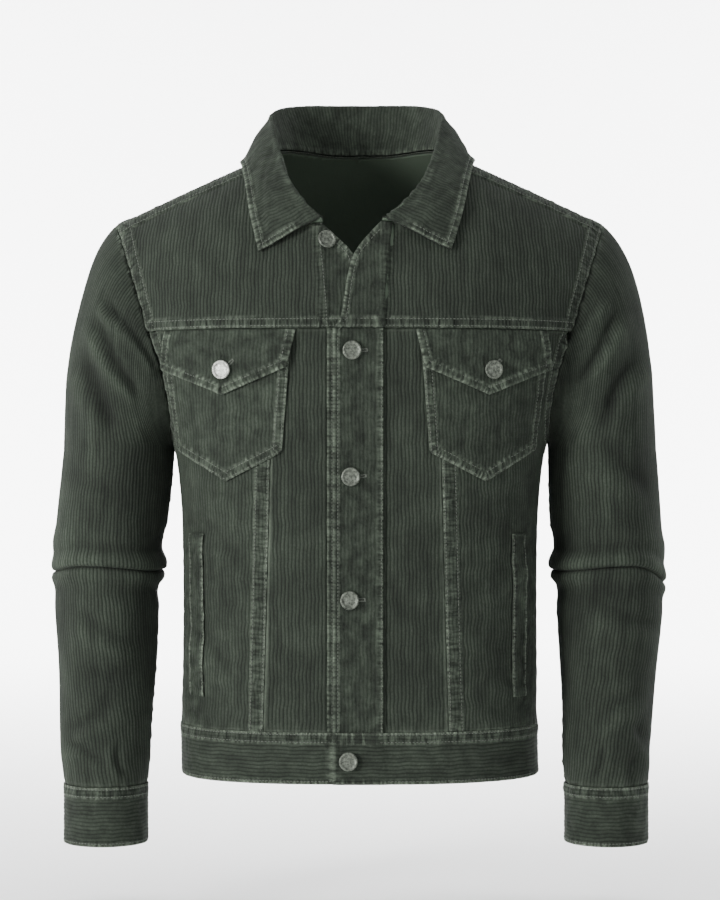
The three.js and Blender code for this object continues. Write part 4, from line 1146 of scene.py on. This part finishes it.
# Long soft twists down the arm
def armTwist(armShare, z, seed):
    a = armShare * 2 * math.pi
    waves = np.sin(2 * a + z / 44 + seed) + 0.8 * np.sin(3 * a - z / 31 + 2 * seed)
    waves = waves + 0.5 * np.sin(5 * a + z / 19 + 3 * seed)
    return 0.75 * waves * ease((z - sleeveFootZ) / 30)


# The cloth above the elbow's crease hangs over it.
def elbowSag(armShare, z, outerFall):
    return -4.4 * np.exp(-(((z - elbowZ + elbowFall(armShare * 2 * math.pi, outerFall)) / 6) ** 2))


# Rows down the sleeve lie closest at the elbow's crease. The last one reaches into the cuff's wall.
armHeights = np.r_[np.arange(-250, -322, -5.0), np.arange(-322, -348, -3.2), np.arange(-348, -374, -1.3),
                   np.arange(-374, -402, -3.2), np.arange(-402, sleeveFootZ, -5.0), sleeveFootZ - 1.0]
sleeveDowns = np.unique(np.r_[np.linspace(0, 1, 30), 1 + (bicepsZ - armHeights) / (bicepsZ - sleeveFootZ)])
downRows = np.r_[np.linspace(0, 1, 60), np.linspace(1, 2, 90)[1:]]
roundRows = np.linspace(0, 0.5, 361)

for front in fronts:
    sign, name, lean = front["sign"], front["name"], front["lean"]
    outerFall = 17.0 if sign > 0 else 6.0
    halves = {}
    for key, rounds in (("front", roundRows), ("back", 1 - roundRows)):
        runs = lengthsAlong(sleevePoint(rounds[None], downRows[:, None], lean))
        halves[key] = (runs[:, -1], np.array([np.interp(arcs, run, rounds) for run in runs]))

    def roundAt(s, down):
        fi = np.interp(down, downRows, np.arange(len(downRows)))
        fi, fj = np.broadcast_arrays(fi, np.abs(s) / arcStep)
        return np.where(s >= 0, bilinear(halves["front"][1], fi, fj), bilinear(halves["back"][1], fi, fj))

    def sleeveAt(s, down):
        s, down = np.broadcast_arrays(np.asarray(s, float), np.asarray(down, float))
        return sleevePoint(roundAt(s, down), down, lean)

    def frontLimit(down):
        return np.interp(down, downRows, halves["front"][0]) - armGap

    def backLimit(down):
        return -np.interp(down, downRows, halves["back"][0]) + armGap

    foot = float(sleeveDowns[-1])
    grid = cutGrid(np.r_[-1.0, -0.5, -0.2, sleeveDowns], (backLimit, frontLimit), every=5)

    def sleeveFold(points, normals, s, v):
        armShare, z = roundAt(s, v), points[..., 2]
        creases = creaseRise(points * aside, normals[..., 1]) + armTwist(armShare, z, 2 + sign)
        return elbowRise(armShare, z, outerFall) + ease(v * 3) * creases

    toWrist = np.r_[np.linspace(0, 1, 20), np.linspace(1, foot, 60)[1:]]
    allRound = np.linspace(float(backLimit(0)), float(frontLimit(0)), 160)
    footRound = np.linspace(float(backLimit(foot)), float(frontLimit(foot)), 90)
    lines = [
        (sleeveAt(allRound, 0.0), edges["sleeveHead"]),
        (sleeveAt(footRound, foot), edges["sleeveFoot"]),
        (sleeveAt(frontLimit(toWrist), toWrist), edges["closed"]),
        (sleeveAt(backLimit(toWrist), toWrist), edges["closed"]),
    ]
    aside = np.array([sign, 1, 1])
    sleeveSpec = {"name": f"sleeveCloth{name.title()}", "node": f"sleeve_{name}", "seed": 43 + sign,
                  "crumple": 0.12, "pieceFadeAndLight": -0.12, "flip": sign < 0, "aside": aside,
                  "sag": lambda points, s, v: elbowSag(roundAt(s, v), points[..., 2], outerFall),
                  "seams": [{"line": line, **style} for line, style in lines]}
    cutPiece(sleeveSpec, grid, sleeveAt, 0.02, sleeveFold, outside)

    # cuff: its wales run round it
    ringOf = np.linspace(0, 1, 721)
    cuffRing = sleeveRing(0.5 + ringOf, sleeveFootZ + 0 * ringOf, lean)
    cuffRun = lengthsAlong(cuffRing[None])[0]

    def cuffAt(s, v):
        s, v = np.broadcast_arrays(np.asarray(s, float), np.asarray(v, float))
        drop = -s
        ring = np.stack([np.interp(v, cuffRun, cuffRing[:, k]) for k in range(3)], -1)
        return ring + np.stack([-0.02 * drop, -0.19 * drop, -seam - drop], -1)

    cuffHigh = sleeveFootZ - cuffFootZ - seam
    limits = (level(-cuffHigh), level(0.0))
    grid = cutGrid(np.linspace(armGap, cuffRun[-1] - armGap, 92), limits)
    run = np.linspace(armGap, cuffRun[-1] - armGap, 80)
    cuffSpec = {"name": f"cuffCloth{name.title()}", "node": f"cuff_{name}", "seed": 53 + sign,
                "thick": wall(0.8 - band, 0.8),
                "flip": sign < 0, "aside": aside, "crumple": 0.6,
                "seams": [
                    {"line": cuffAt(0.0, run), **edges["bandTop"]},
                    {"line": cuffAt(-cuffHigh, run), **edges["hem"]},
                ]}
    cutPiece(cuffSpec, grid, cuffAt, 0.5, lambda p, n, s, v: 0 * v, outside)

# Collar. Each section rises from the neck seam to the roll and falls to the leaf's edge.
rollRows = np.array([(0, 0, 84, 108), (0.18, 45, 75, 106.5), (0.32, 75, 54, 101), (0.44, 86, 26, 90),
                     (0.54, 84, -3, 75), (0.66, 77, -41, 46), (0.78, 65, -78, 13), (0.9, 46, -99, -12),
                     (1, 29, -106, -26)], float)
leafRows = np.array([(0, 0, 133), (0.18, 54, 129), (0.34, 98, 112), (0.48, 114, 88), (0.6, 112, 70),
                     (0.72, 107, 54), (0.84, 102, 41), (0.94, 95, 30), (1, 91.5, 25.5)], float)


def shoulderAtX(x, lift):
    return shoulder(x / armholeX(lift), lift)


def neckLift(half):
    if half < neckShareBehind:
        return mix(neckBackLift, 90, (half / neckShareBehind) ** 2.2)
    return mix(neckFrontLift, 90, ((1 - half) / (1 - neckShareBehind)) ** 1.2)


keptLifts = np.arange(4, 161, 2.0)


def keepOff(p, distance):
    q = shoulderAtX(p[0], keptLifts)
    k = np.linalg.norm(q - p, axis=1).argmin()
    lift = keptLifts[k]
    above = shoulderAtX(p[0], lift + 1) - shoulderAtX(p[0], lift - 1)
    beside = shoulderAtX(p[0] + 1, lift) - shoulderAtX(p[0] - 1, lift)
    outward = unit(np.cross(beside, above))
    height = np.dot(p - q[k], outward)
    return p + outward * (distance - height) if height < distance else p


def collarSection(g):
    half, sign = abs(g), -1 if g < 0 else 1
    front = fronts[0 if g < 0 else 1]
    shift = 3 * ease(half / 0.4) + 4 * half ** 4
    lift = neckLift(half)
    neck = shoulderAtX(sign * float(neckX(min(lift, neckBackLift), front)), lift)
    roll = np.array([readTable(rollRows[:, 0], rollRows[:, k], half) for k in (1, 2, 3)])
    roll[0] = sign * roll[0] - shift
    edgeX = sign * readTable(leafRows[:, 0], leafRows[:, 1], half) - shift * 0.7
    edge = shoulderAtX(edgeX, readTable(leafRows[:, 0], leafRows[:, 2], half))
    up, downLeaf = unit(roll - neck), unit(edge - roll)
    neck = neck + up * (band * 0.5 + 1.3)
    fold = min(5.0, np.linalg.norm(roll - neck) * 0.4)
    outsideOf = unit(downLeaf - up)
    bulge = unit(np.array([roll[0], roll[1], 0]))
    step = (lambda p: overStep(p[0])) if sign > 0 else (lambda p: 0.0)
    if sign > 0:
        neck = keepOff(neck, step(neck))
    section = [neck, mix(neck, roll, 0.5), roll - up * fold, roll + outsideOf * fold * 0.1,
               roll + downLeaf * fold + outsideOf * fold * 0.35]
    for t in (0.3, 0.55, 0.8, 1):
        p = mix(roll, edge, t) + bulge * 20 * t * (1 - t) * half ** 0.5
        section.append(keepOff(p, 4 + step(p)))
    return np.array(section)


collarShares = np.linspace(-1, 1, 121)
sections = np.array([collarSection(float(g)) for g in collarShares])


# A smooth curve through a section's points, read at even distances.
def refine(section, count):
    run = lengthsAlong(section[None])[0]
    curve = np.stack([readTable(run, section[:, k], np.linspace(0, run[-1], 160)) for k in range(3)], -1)
    fine = lengthsAlong(curve[None])[0]
    return np.stack([np.interp(np.linspace(0, fine[-1], count), fine, curve[:, k]) for k in range(3)], -1)


collarSteps = 34
collarCurves = np.array([refine(section, collarSteps) for section in sections])
collarRun = lengthsAlong(collarCurves[:, 11][None])[0]  # measured along the roll
collarRun -= collarRun[-1] / 2


def collarAt(s, v):
    s, v = np.broadcast_arrays(np.asarray(s, float), np.asarray(v, float))
    fi = np.interp(s, collarRun, np.arange(len(collarRun)))
    return bilinear(collarCurves, fi, v * (collarSteps - 1))


collarEnd = float(collarRun[-1])
grid = cutGrid(np.linspace(0, 1, 40), (level(-collarEnd), level(collarEnd)), every=4)
run = np.linspace(-collarEnd, collarEnd, 150)
down = np.linspace(0.42, 1, 20)
collarSpec = {
    "name": "collarCloth", "node": "collar", "seed": 61, "crumple": 0.7, "pieceFadeAndLight": 0.12, "wale": 0.75,
    "waver": 1.9, "thick": wall(-band / 2, band / 2),
    "seams": [
        {"line": collarAt(run, 1.0), **edges["leaf"]},
        {"line": collarAt(collarEnd, down), **edges["leaf"]},
        {"line": collarAt(-collarEnd, down), **edges["leaf"]},
        {"line": collarAt(run, 0.0), **edges["collarFoot"]},
    ],
}
cutPiece(collarSpec, grid, collarAt, 0.02, lambda p, n, s, v: 0 * v, outside)
print("cloth made")


# A worked buttonhole: close stitches across both sides of its slit, and a bar at its far end. It starts some
# way from x, z and runs in the given direction.
def workHole(name, x, z, direction, start, end):
    tree, face, smooth = finished[name]
    along = unit(np.array([direction[0], 0, direction[1]]))
    across = unit(np.array([-direction[1], 0, direction[0]]))

    def onto(u, w):
        p = np.array([x, -115, z]) + along * u + across * w
        for _ in range(3):
            p[1] = face[tree.find(p)[1]][1]
        _, k, _ = tree.find(p)
        return p - smooth[k] * np.dot(p - face[k], smooth[k]), smooth[k]

    for u in np.arange(start, end, 0.75):
        for side in (-1, 1):
            (p, n), (q, _) = onto(u, 0.25 * side), onto(u + 0.15, 1.9 * side)
            stitchSets[name].append((p, q, n, 0.42))
    for w in (-0.5, 0.0, 0.5):
        (p, n), (q, _) = onto(end + 0.5 + w * 0.6, -1.7), onto(end + 0.5 + w * 0.6, 1.7)
        stitchSets[name].append((p, q, n, 0.45))


buttonHeights = (-155.6, -275.0, -393.0, -546.0)
buttonXs = [float(mix(-7.5, -11.0, k / 3)) for k in range(4)]
flapButtonZ = -173.0


def flapButtonX(front):
    return front["sign"] * (130 + front["shift"] * 0.6)


for x, z in zip(buttonXs, buttonHeights):
    workHole("placketCloth" if z > waistZ else "waistbandCloth", x, z, (1, 0.03), 1.0, 14.0)
for front in fronts:
    workHole(f"pocketFlapCloth{front['name'].title()}", flapButtonX(front), flapButtonZ, (0.72, 0.7),
             -2.0, 12.0)
for group, stitches in stitchSets.items():
    buildStitches(f"stitchesOn{group[0].upper()}{group[1:]}", stitches, threadLook)
print("stitches", sum(len(x) for x in stitchSets.values()))


# Buttons: a dished cap with a raised rim, turned on the lathe, on its shank
buttonShape = {
    "profile": [(0.0, 3.05), (2.4, 3.0), (4.6, 2.86), (5.9, 2.84), (6.3, 3.12), (6.7, 3.5), (7.2, 3.86),
                (7.8, 3.98), (8.35, 3.86), (8.78, 3.45), (9.0, 2.85), (8.95, 2.2), (8.6, 1.72), (7.9, 1.45),
                (3.6, 1.4), (3.3, 1.1), (3.4, 0.35), (0.0, 0.3)],
    "sides": 48,
}


def buildButton(label, node, place, outward, look):
    profile, count = np.array(buttonShape["profile"]), buttonShape["sides"]
    turn = np.arange(count) * 2 * math.pi / count
    aside = unit(np.cross(outward, [0.3, 0.2, 1.0]))
    beside = np.cross(outward, aside)
    spokes = aside * np.cos(turn)[:, None] + beside * np.sin(turn)[:, None]
    rings = [place + outward * h + spokes * r for r, h in profile[1:-1]]
    points = np.concatenate([[place + outward * profile[0][1]], *rings, [place + outward * profile[-1][1]]])
    quads, others = [], []
    for k in range(count):
        n = (k + 1) % count
        others.append([0, 1 + k, 1 + n])
        for r in range(len(rings) - 1):
            a, b = 1 + r * count, 1 + (r + 1) * count
            quads.append([a + k, b + k, b + n, a + n])
        last = 1 + (len(rings) - 1) * count
        others.append([last + n, last + k, len(points) - 1])
    piece = buildMesh(label, points, np.array(quads), others, [look], np.zeros(len(quads) + len(others)))
    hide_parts(node)
    return piece


def buttonPlace(x, z, height):
    def at(px, pz):
        if pz > frontYokeZ:
            return frontShoulder(frontYokeArc(px, pz), liftAt(px, pz))
        return frontBody(frontArcAtX(px, pz), pz)

    p = at(x, z)
    outward = unit(np.cross(at(x + 2, z) - p, at(x, z + 2) - p))
    return p + outward * height, outward


def frontYokeArc(x, z):
    lift = liftAt(x, z)
    return yokeArcAt(x / armholeX(lift), lift)


for k, (x, z) in enumerate(zip(buttonXs, buttonHeights)):
    place, outward = buttonPlace(x, z, lap + band + (0.8 if z < waistZ else 0.2))
    buildButton(f"frontButton{k + 2}", f"front_button_{k + 2}", place, outward, pewterLook)
# undone, it lies a little turned
neckButton = {"x": -32.0, "z": -50.0, "height": 1.4, "turned": (0.34, 0, 0.06)}
place, outward = buttonPlace(neckButton["x"], neckButton["z"], neckButton["height"])
outward = unit(outward + np.array(neckButton["turned"]))
buildButton("frontButton1", "front_button_1", place, outward, pewterLook)
for front in fronts:
    place, outward = buttonPlace(flapButtonX(front), flapButtonZ, 5.3)
    # the right flap's button takes a much lighter pewter than the others
    name, look = front["name"], brightLook if front["sign"] < 0 else pewterLook
    buildButton(f"flapButton{name.title()}", f"flap_button_{name}", place, outward, look)
print("buttons made")

# Materials


def linear(*rgb):
    return tuple(((c / 255) / 12.92 if c <= 10 else ((c / 255 + 0.055) / 1.055) ** 2.4) for c in rgb) + (1.0,)


# A shader node group that takes a place and puts out the named values.
def newGroup(name, place, outputs):
    tree = bpy.data.node_groups.new(name, "ShaderNodeTree")
    tree.interface.new_socket(name=place, in_out="INPUT", socket_type="NodeSocketVector")
    for label in outputs:
        tree.interface.new_socket(name=label, in_out="OUTPUT", socket_type="NodeSocketFloat")
    return tree, tree.nodes.new("NodeGroupInput"), tree.nodes.new("NodeGroupOutput")


def node(tree, kind, inputs=None, **settings):
    made = tree.nodes.new(kind)
    for key, value in settings.items():
        setattr(made, key, value)
    for key, value in (inputs or {}).items():
        if isinstance(value, bpy.types.NodeSocket):
            tree.links.new(value, made.inputs[key])
        else:
            made.inputs[key].default_value = value
    return made


def maths(tree, operation, a, b=0.0, clamp=False):
    return node(tree, "ShaderNodeMath", {0: a, 1: b}, operation=operation, use_clamp=clamp).outputs[0]


def blendColours(tree, kind, factor, a, b):
    made = node(tree, "ShaderNodeMix", data_type="RGBA", blend_type=kind)
    for index, value in ((0, factor), (6, a), (7, b)):
        if isinstance(value, bpy.types.NodeSocket):
            tree.links.new(value, made.inputs[index])
        else:
            made.inputs[index].default_value = value
    return made.outputs[2]


def noiseOf(tree, vector, scale, detail, roughness):
    inputs = {"Vector": vector, "Scale": scale, "Detail": detail, "Roughness": roughness}
    return node(tree, "ShaderNodeTexNoise", inputs).outputs[0]


# Noise drawn out along one direction of a map.
def stretchedNoise(tree, vector, shares, detail, roughness):
    moved = node(tree, "ShaderNodeVectorMath", {0: vector, 1: shares}, operation="MULTIPLY")
    return noiseOf(tree, moved.outputs[0], 1.0, detail, roughness)


def giveOut(tree, out, *values):
    for k, value in enumerate(values):
        tree.links.new(value, out.inputs[k])


# Wales: how near a place is to the top of its wale, with the pile's short streaks along it, and longer runs of
# wales that lie a little lighter or darker together.
walesGroup, given, out = newGroup("corduroyWales", "Wale Place", ["Crest", "Streaks", "Runs"])
place = node(walesGroup, "ShaderNodeSeparateXYZ", {0: given.outputs[0]})
across = maths(walesGroup, "FRACT", place.outputs[0])
off = maths(walesGroup, "ABSOLUTE", maths(walesGroup, "SUBTRACT", across, 0.5))
off = maths(walesGroup, "MULTIPLY", off, 2.0)
crest = maths(walesGroup, "SUBTRACT", 1.0, maths(walesGroup, "POWER", off, 2.4), True)
streaks = stretchedNoise(walesGroup, given.outputs[0], (5.0, 1.9, 1.0), 3.0, 0.65)
runs = stretchedNoise(walesGroup, given.outputs[0], (0.42, 0.07, 1.0), 2.0, 0.6)
giveOut(walesGroup, out, crest, streaks, runs)

# Seam puckers: short bars across the band beside a seam, where washing drew it up.
puckersGroup, given, out = newGroup("seamPuckers", "Seam Place", ["Bars"])
giveOut(puckersGroup, out, stretchedNoise(puckersGroup, given.outputs[0], (0.3, 0.07, 1.0), 1.5, 0.6))

# Nap: soft lighter and darker places where the pile lies one way or the other, and where washing faded it.
napGroup, given, out = newGroup("washedNap", "Place", ["Patch", "Fleck", "Crumple"])
napSizes = ((20.0, 4.0, 0.6), (420.0, 3.0, 0.7), (85.0, 3.0, 0.55))  # scale, detail and roughness of each
giveOut(napGroup, out, *(noiseOf(napGroup, given.outputs[0], *size) for size in napSizes))


# A cleared material with its surface set to the given even values.
def startMaterial(material, **values):
    material.use_nodes = True
    tree = material.node_tree
    tree.nodes.clear()
    surface = tree.nodes.new("ShaderNodeBsdfPrincipled")
    out = tree.nodes.new("ShaderNodeOutputMaterial")
    tree.links.new(surface.outputs[0], out.inputs[0])
    for key, value in values.items():
        surface.inputs[key].default_value = value
    return tree, surface


def useGroup(tree, group, vector):
    made = node(tree, "ShaderNodeGroup", node_tree=group)
    tree.links.new(vector, made.inputs[0])
    return made


# A value spread from one range to another.
def spread(tree, value, low, high, toLow, toHigh):
    inputs = {"Value": value, "From Min": low, "From Max": high, "To Min": toLow, "To Max": toHigh}
    return node(tree, "ShaderNodeMapRange", inputs).outputs[0]


# One where the mask is 0, the value where it is 1.
def onlyWhere(tree, mask, value):
    return maths(tree, "ADD", 1.0, maths(tree, "MULTIPLY", mask, maths(tree, "SUBTRACT", value, 1.0)))


corduroyTones = {
    "crest": linear(44, 50, 42), "paintedValleyShade": linear(10, 14, 10), "wornAndHighlit": linear(70, 77, 67),
    "inside": (linear(66, 76, 64), linear(70, 80, 68)), "thread": (linear(44, 48, 42), linear(84, 90, 80)),
}

tree, surface = startMaterial(clothLook, **{"Roughness": 0.92, "Specular IOR Level": 0.18, "Sheen Weight": 0.08,
                                            "Sheen Roughness": 0.5, "Sheen Tint": linear(140, 146, 138)})
wales = useGroup(tree, walesGroup, node(tree, "ShaderNodeUVMap", uv_map="waleUv").outputs[0])
puckers = useGroup(tree, puckersGroup, node(tree, "ShaderNodeUVMap", uv_map="seamUv").outputs[0])
nap = useGroup(tree, napGroup, node(tree, "ShaderNodeTexCoord").outputs["Object"])
wearAndHighlight, inBand, crumple, foldShadeAndPieceTone = (
    node(tree, "ShaderNodeAttribute", attribute_name=key).outputs["Fac"]
    for key in ("seamWearAndHighlight", "seamBand", "crumple", "foldShadeAndPieceTone"))
lit = maths(tree, "MULTIPLY", wales.outputs["Crest"],
            spread(tree, wales.outputs["Streaks"], 0.25, 0.75, 0.5, 1.15), True)
lit = blendColours(tree, "MIX", maths(tree, "MULTIPLY", crumple, 0.55), lit, (0.55, 0.55, 0.55, 1.0))
# the grooves between wales take a far darker colour than the crests: painted shade in the grooves; the lighter
# crests also stand for rubbed pile
tone = blendColours(tree, "MIX", lit, corduroyTones["paintedValleyShade"], corduroyTones["crest"])
# the seam edges and their bars turn toward a paler colour: partly abrasion, partly painted highlight on the
# raised edges and puckers
wearAndHighlightBars = maths(tree, "MULTIPLY", wearAndHighlight, spread(tree, puckers.outputs["Bars"], 0.35, 0.62, 0.35, 1.0), True)
tone = blendColours(tree, "MIX", wearAndHighlightBars, tone, corduroyTones["wornAndHighlit"])
shade = spread(tree, nap.outputs["Patch"], 0.3, 0.7, 0.8, 1.2)
for factor in (
    spread(tree, nap.outputs["Fleck"], 0.3, 0.7, 0.82, 1.18),
    spread(tree, wales.outputs["Runs"], 0.32, 0.68, 0.78, 1.22),
    # painted shade in the hollows of the folds, painted light on their ridges, and each piece's tone
    spread(tree, foldShadeAndPieceTone, -1.0, 1.0, 0.5, 1.5),
    # painted light and shade: lighter and darker bars across the seam bands for the lit and shaded sides of the
    # puckers
    onlyWhere(tree, inBand, spread(tree, puckers.outputs["Bars"], 0.36, 0.64, 0.62, 1.45)),
    onlyWhere(tree, crumple, spread(tree, nap.outputs["Crumple"], 0.33, 0.67, 0.62, 1.42)),
):
    shade = maths(tree, "MULTIPLY", shade, factor)
grey = node(tree, "ShaderNodeCombineColor", {0: shade, 1: shade, 2: shade}).outputs[0]
tree.links.new(blendColours(tree, "MULTIPLY", 1.0, tone, grey), surface.inputs["Base Color"])


# The sum of two values, each with its own share.
def sumOf(tree, a, shareA, b, shareB):
    return maths(tree, "ADD", maths(tree, "MULTIPLY", a, shareA), maths(tree, "MULTIPLY", b, shareB))


fine = sumOf(tree, wales.outputs["Streaks"], 0.5, nap.outputs["Fleck"], 0.5)
drawn = sumOf(tree, puckers.outputs["Bars"], inBand, nap.outputs["Crumple"], crumple)
bump = node(tree, "ShaderNodeBump", {"Height": fine, "Strength": 0.55, "Distance": 0.0006})
bump = node(tree, "ShaderNodeBump",
            {"Height": drawn, "Strength": 0.9, "Distance": 0.0032, "Normal": bump.outputs[0]})
tree.links.new(bump.outputs[0], surface.inputs["Normal"])

# The wrong side is set lighter than the face: partly its own plainer tone, partly painted light for the light
# that hardly reaches inside.
tree, surface = startMaterial(insideLook, **{"Roughness": 0.95, "Specular IOR Level": 0.15})
nap = useGroup(tree, napGroup, node(tree, "ShaderNodeTexCoord").outputs["Object"])
tone = blendColours(tree, "MIX", nap.outputs["Patch"], *corduroyTones["inside"])
tree.links.new(tone, surface.inputs["Base Color"])
bump = node(tree, "ShaderNodeBump", {"Height": nap.outputs["Fleck"], "Strength": 0.4, "Distance": 0.0004})
tree.links.new(bump.outputs[0], surface.inputs["Normal"])

tree, surface = startMaterial(threadLook, Roughness=0.7)
nap = useGroup(tree, napGroup, node(tree, "ShaderNodeTexCoord").outputs["Object"])
tone = blendColours(tree, "MIX", nap.outputs["Fleck"], *corduroyTones["thread"])
tree.links.new(tone, surface.inputs["Base Color"])

# Pewter: dull, with a darker film in places.
filmGroup, given, out = newGroup("buttonFilm", "Place", ["Film"])
giveOut(filmGroup, out, noiseOf(filmGroup, given.outputs[0], 420.0, 4.0, 0.75))
for look, dark, light in ((pewterLook, (48, 52, 46), (110, 115, 105)),
                          (brightLook, (98, 100, 95), (196, 197, 190))):
    tree, surface = startMaterial(look, Metallic=0.7)
    film = useGroup(tree, filmGroup, node(tree, "ShaderNodeTexCoord").outputs["Object"])
    tone = blendColours(tree, "MIX", spread(tree, film.outputs[0], 0.36, 0.64, 0, 1), linear(*dark),
                        linear(*light))
    tree.links.new(tone, surface.inputs["Base Color"])
    tree.links.new(spread(tree, film.outputs[0], 0.0, 1.0, 0.65, 0.4), surface.inputs["Roughness"])
print("materials made")

# Floor, backdrop, lights and camera
backdrop = bpy.data.materials.new("paleBackdrop")
startMaterial(backdrop, **{"Base Color": linear(248, 248, 248), "Roughness": 0.9})
floorZ, wallY, bend = -0.70, 4.2, 1.4
arc = [(wallY - bend + bend * math.sin(a), floorZ + bend - bend * math.cos(a)) for a in np.linspace(0,
    math.pi / 2, 17)]
profile = [(-5.0, floorZ), *arc, (wallY, 4.5)]
corners = [(x, y, z) for y, z in profile for x in (-7.0, 7.0)]
sweep = bpy.data.meshes.new("sweep")
sweep.from_pydata(corners, [], [(2 * k, 2 * k + 1, 2 * k + 3, 2 * k + 2) for k in range(len(profile) - 1)])
sweep.materials.append(backdrop)
for polygon in sweep.polygons:
    polygon.use_smooth = True
floor = bpy.data.objects.new("floor", sweep)
bpy.context.scene.collection.objects.link(floor)

for label, where, aim, power, size, opening in (
    ("keyFromLeft", (-2.3, -1.9, 0.1), (0, 0, -0.25), 142, 0.9, 180),
    ("fillFromRight", (2.2, -2.3, 0.3), (0, 0, -0.25), 27, 2.2, 180),
    ("softAbove", (-0.3, -0.5, 2.2), (0, 0, -0.25), 26, 1.6, 180),
    ("wallFromLeft", (-3.2, 2.0, 1.6), (0.2, 3.6, -0.4), 330, 1.6, 110),
    ("wallFromRight", (3.2, 2.0, 1.6), (-0.2, 3.6, -0.4), 330, 1.6, 110),
):
    lamp = bpy.data.lights.new(label, "AREA")
    lamp.energy, lamp.size, lamp.spread = power, size, math.radians(opening)
    lampObject = bpy.data.objects.new(label, lamp)
    lampObject.location = where
    lampObject.rotation_euler = (Vector(aim) - Vector(where)).to_track_quat("-Z", "Y").to_euler()
    bpy.context.scene.collection.objects.link(lampObject)

world = bpy.data.worlds.new("studio")
world.use_nodes = True
world.node_tree.nodes["Background"].inputs[0].default_value = (0.95, 0.97, 1.0, 1)
world.node_tree.nodes["Background"].inputs[1].default_value = 0.6
bpy.context.scene.world = world

camera = bpy.data.cameras.new("photoCamera")
camera.lens, camera.sensor_width, camera.sensor_fit = 96, 36, "AUTO"
cameraObject = bpy.data.objects.new("photoCamera", camera)
cameraObject.location = (0, -2.4, -0.25)
cameraObject.rotation_euler = (math.pi / 2, 0, 0)
bpy.context.scene.collection.objects.link(cameraObject)
bpy.context.scene.camera = cameraObject
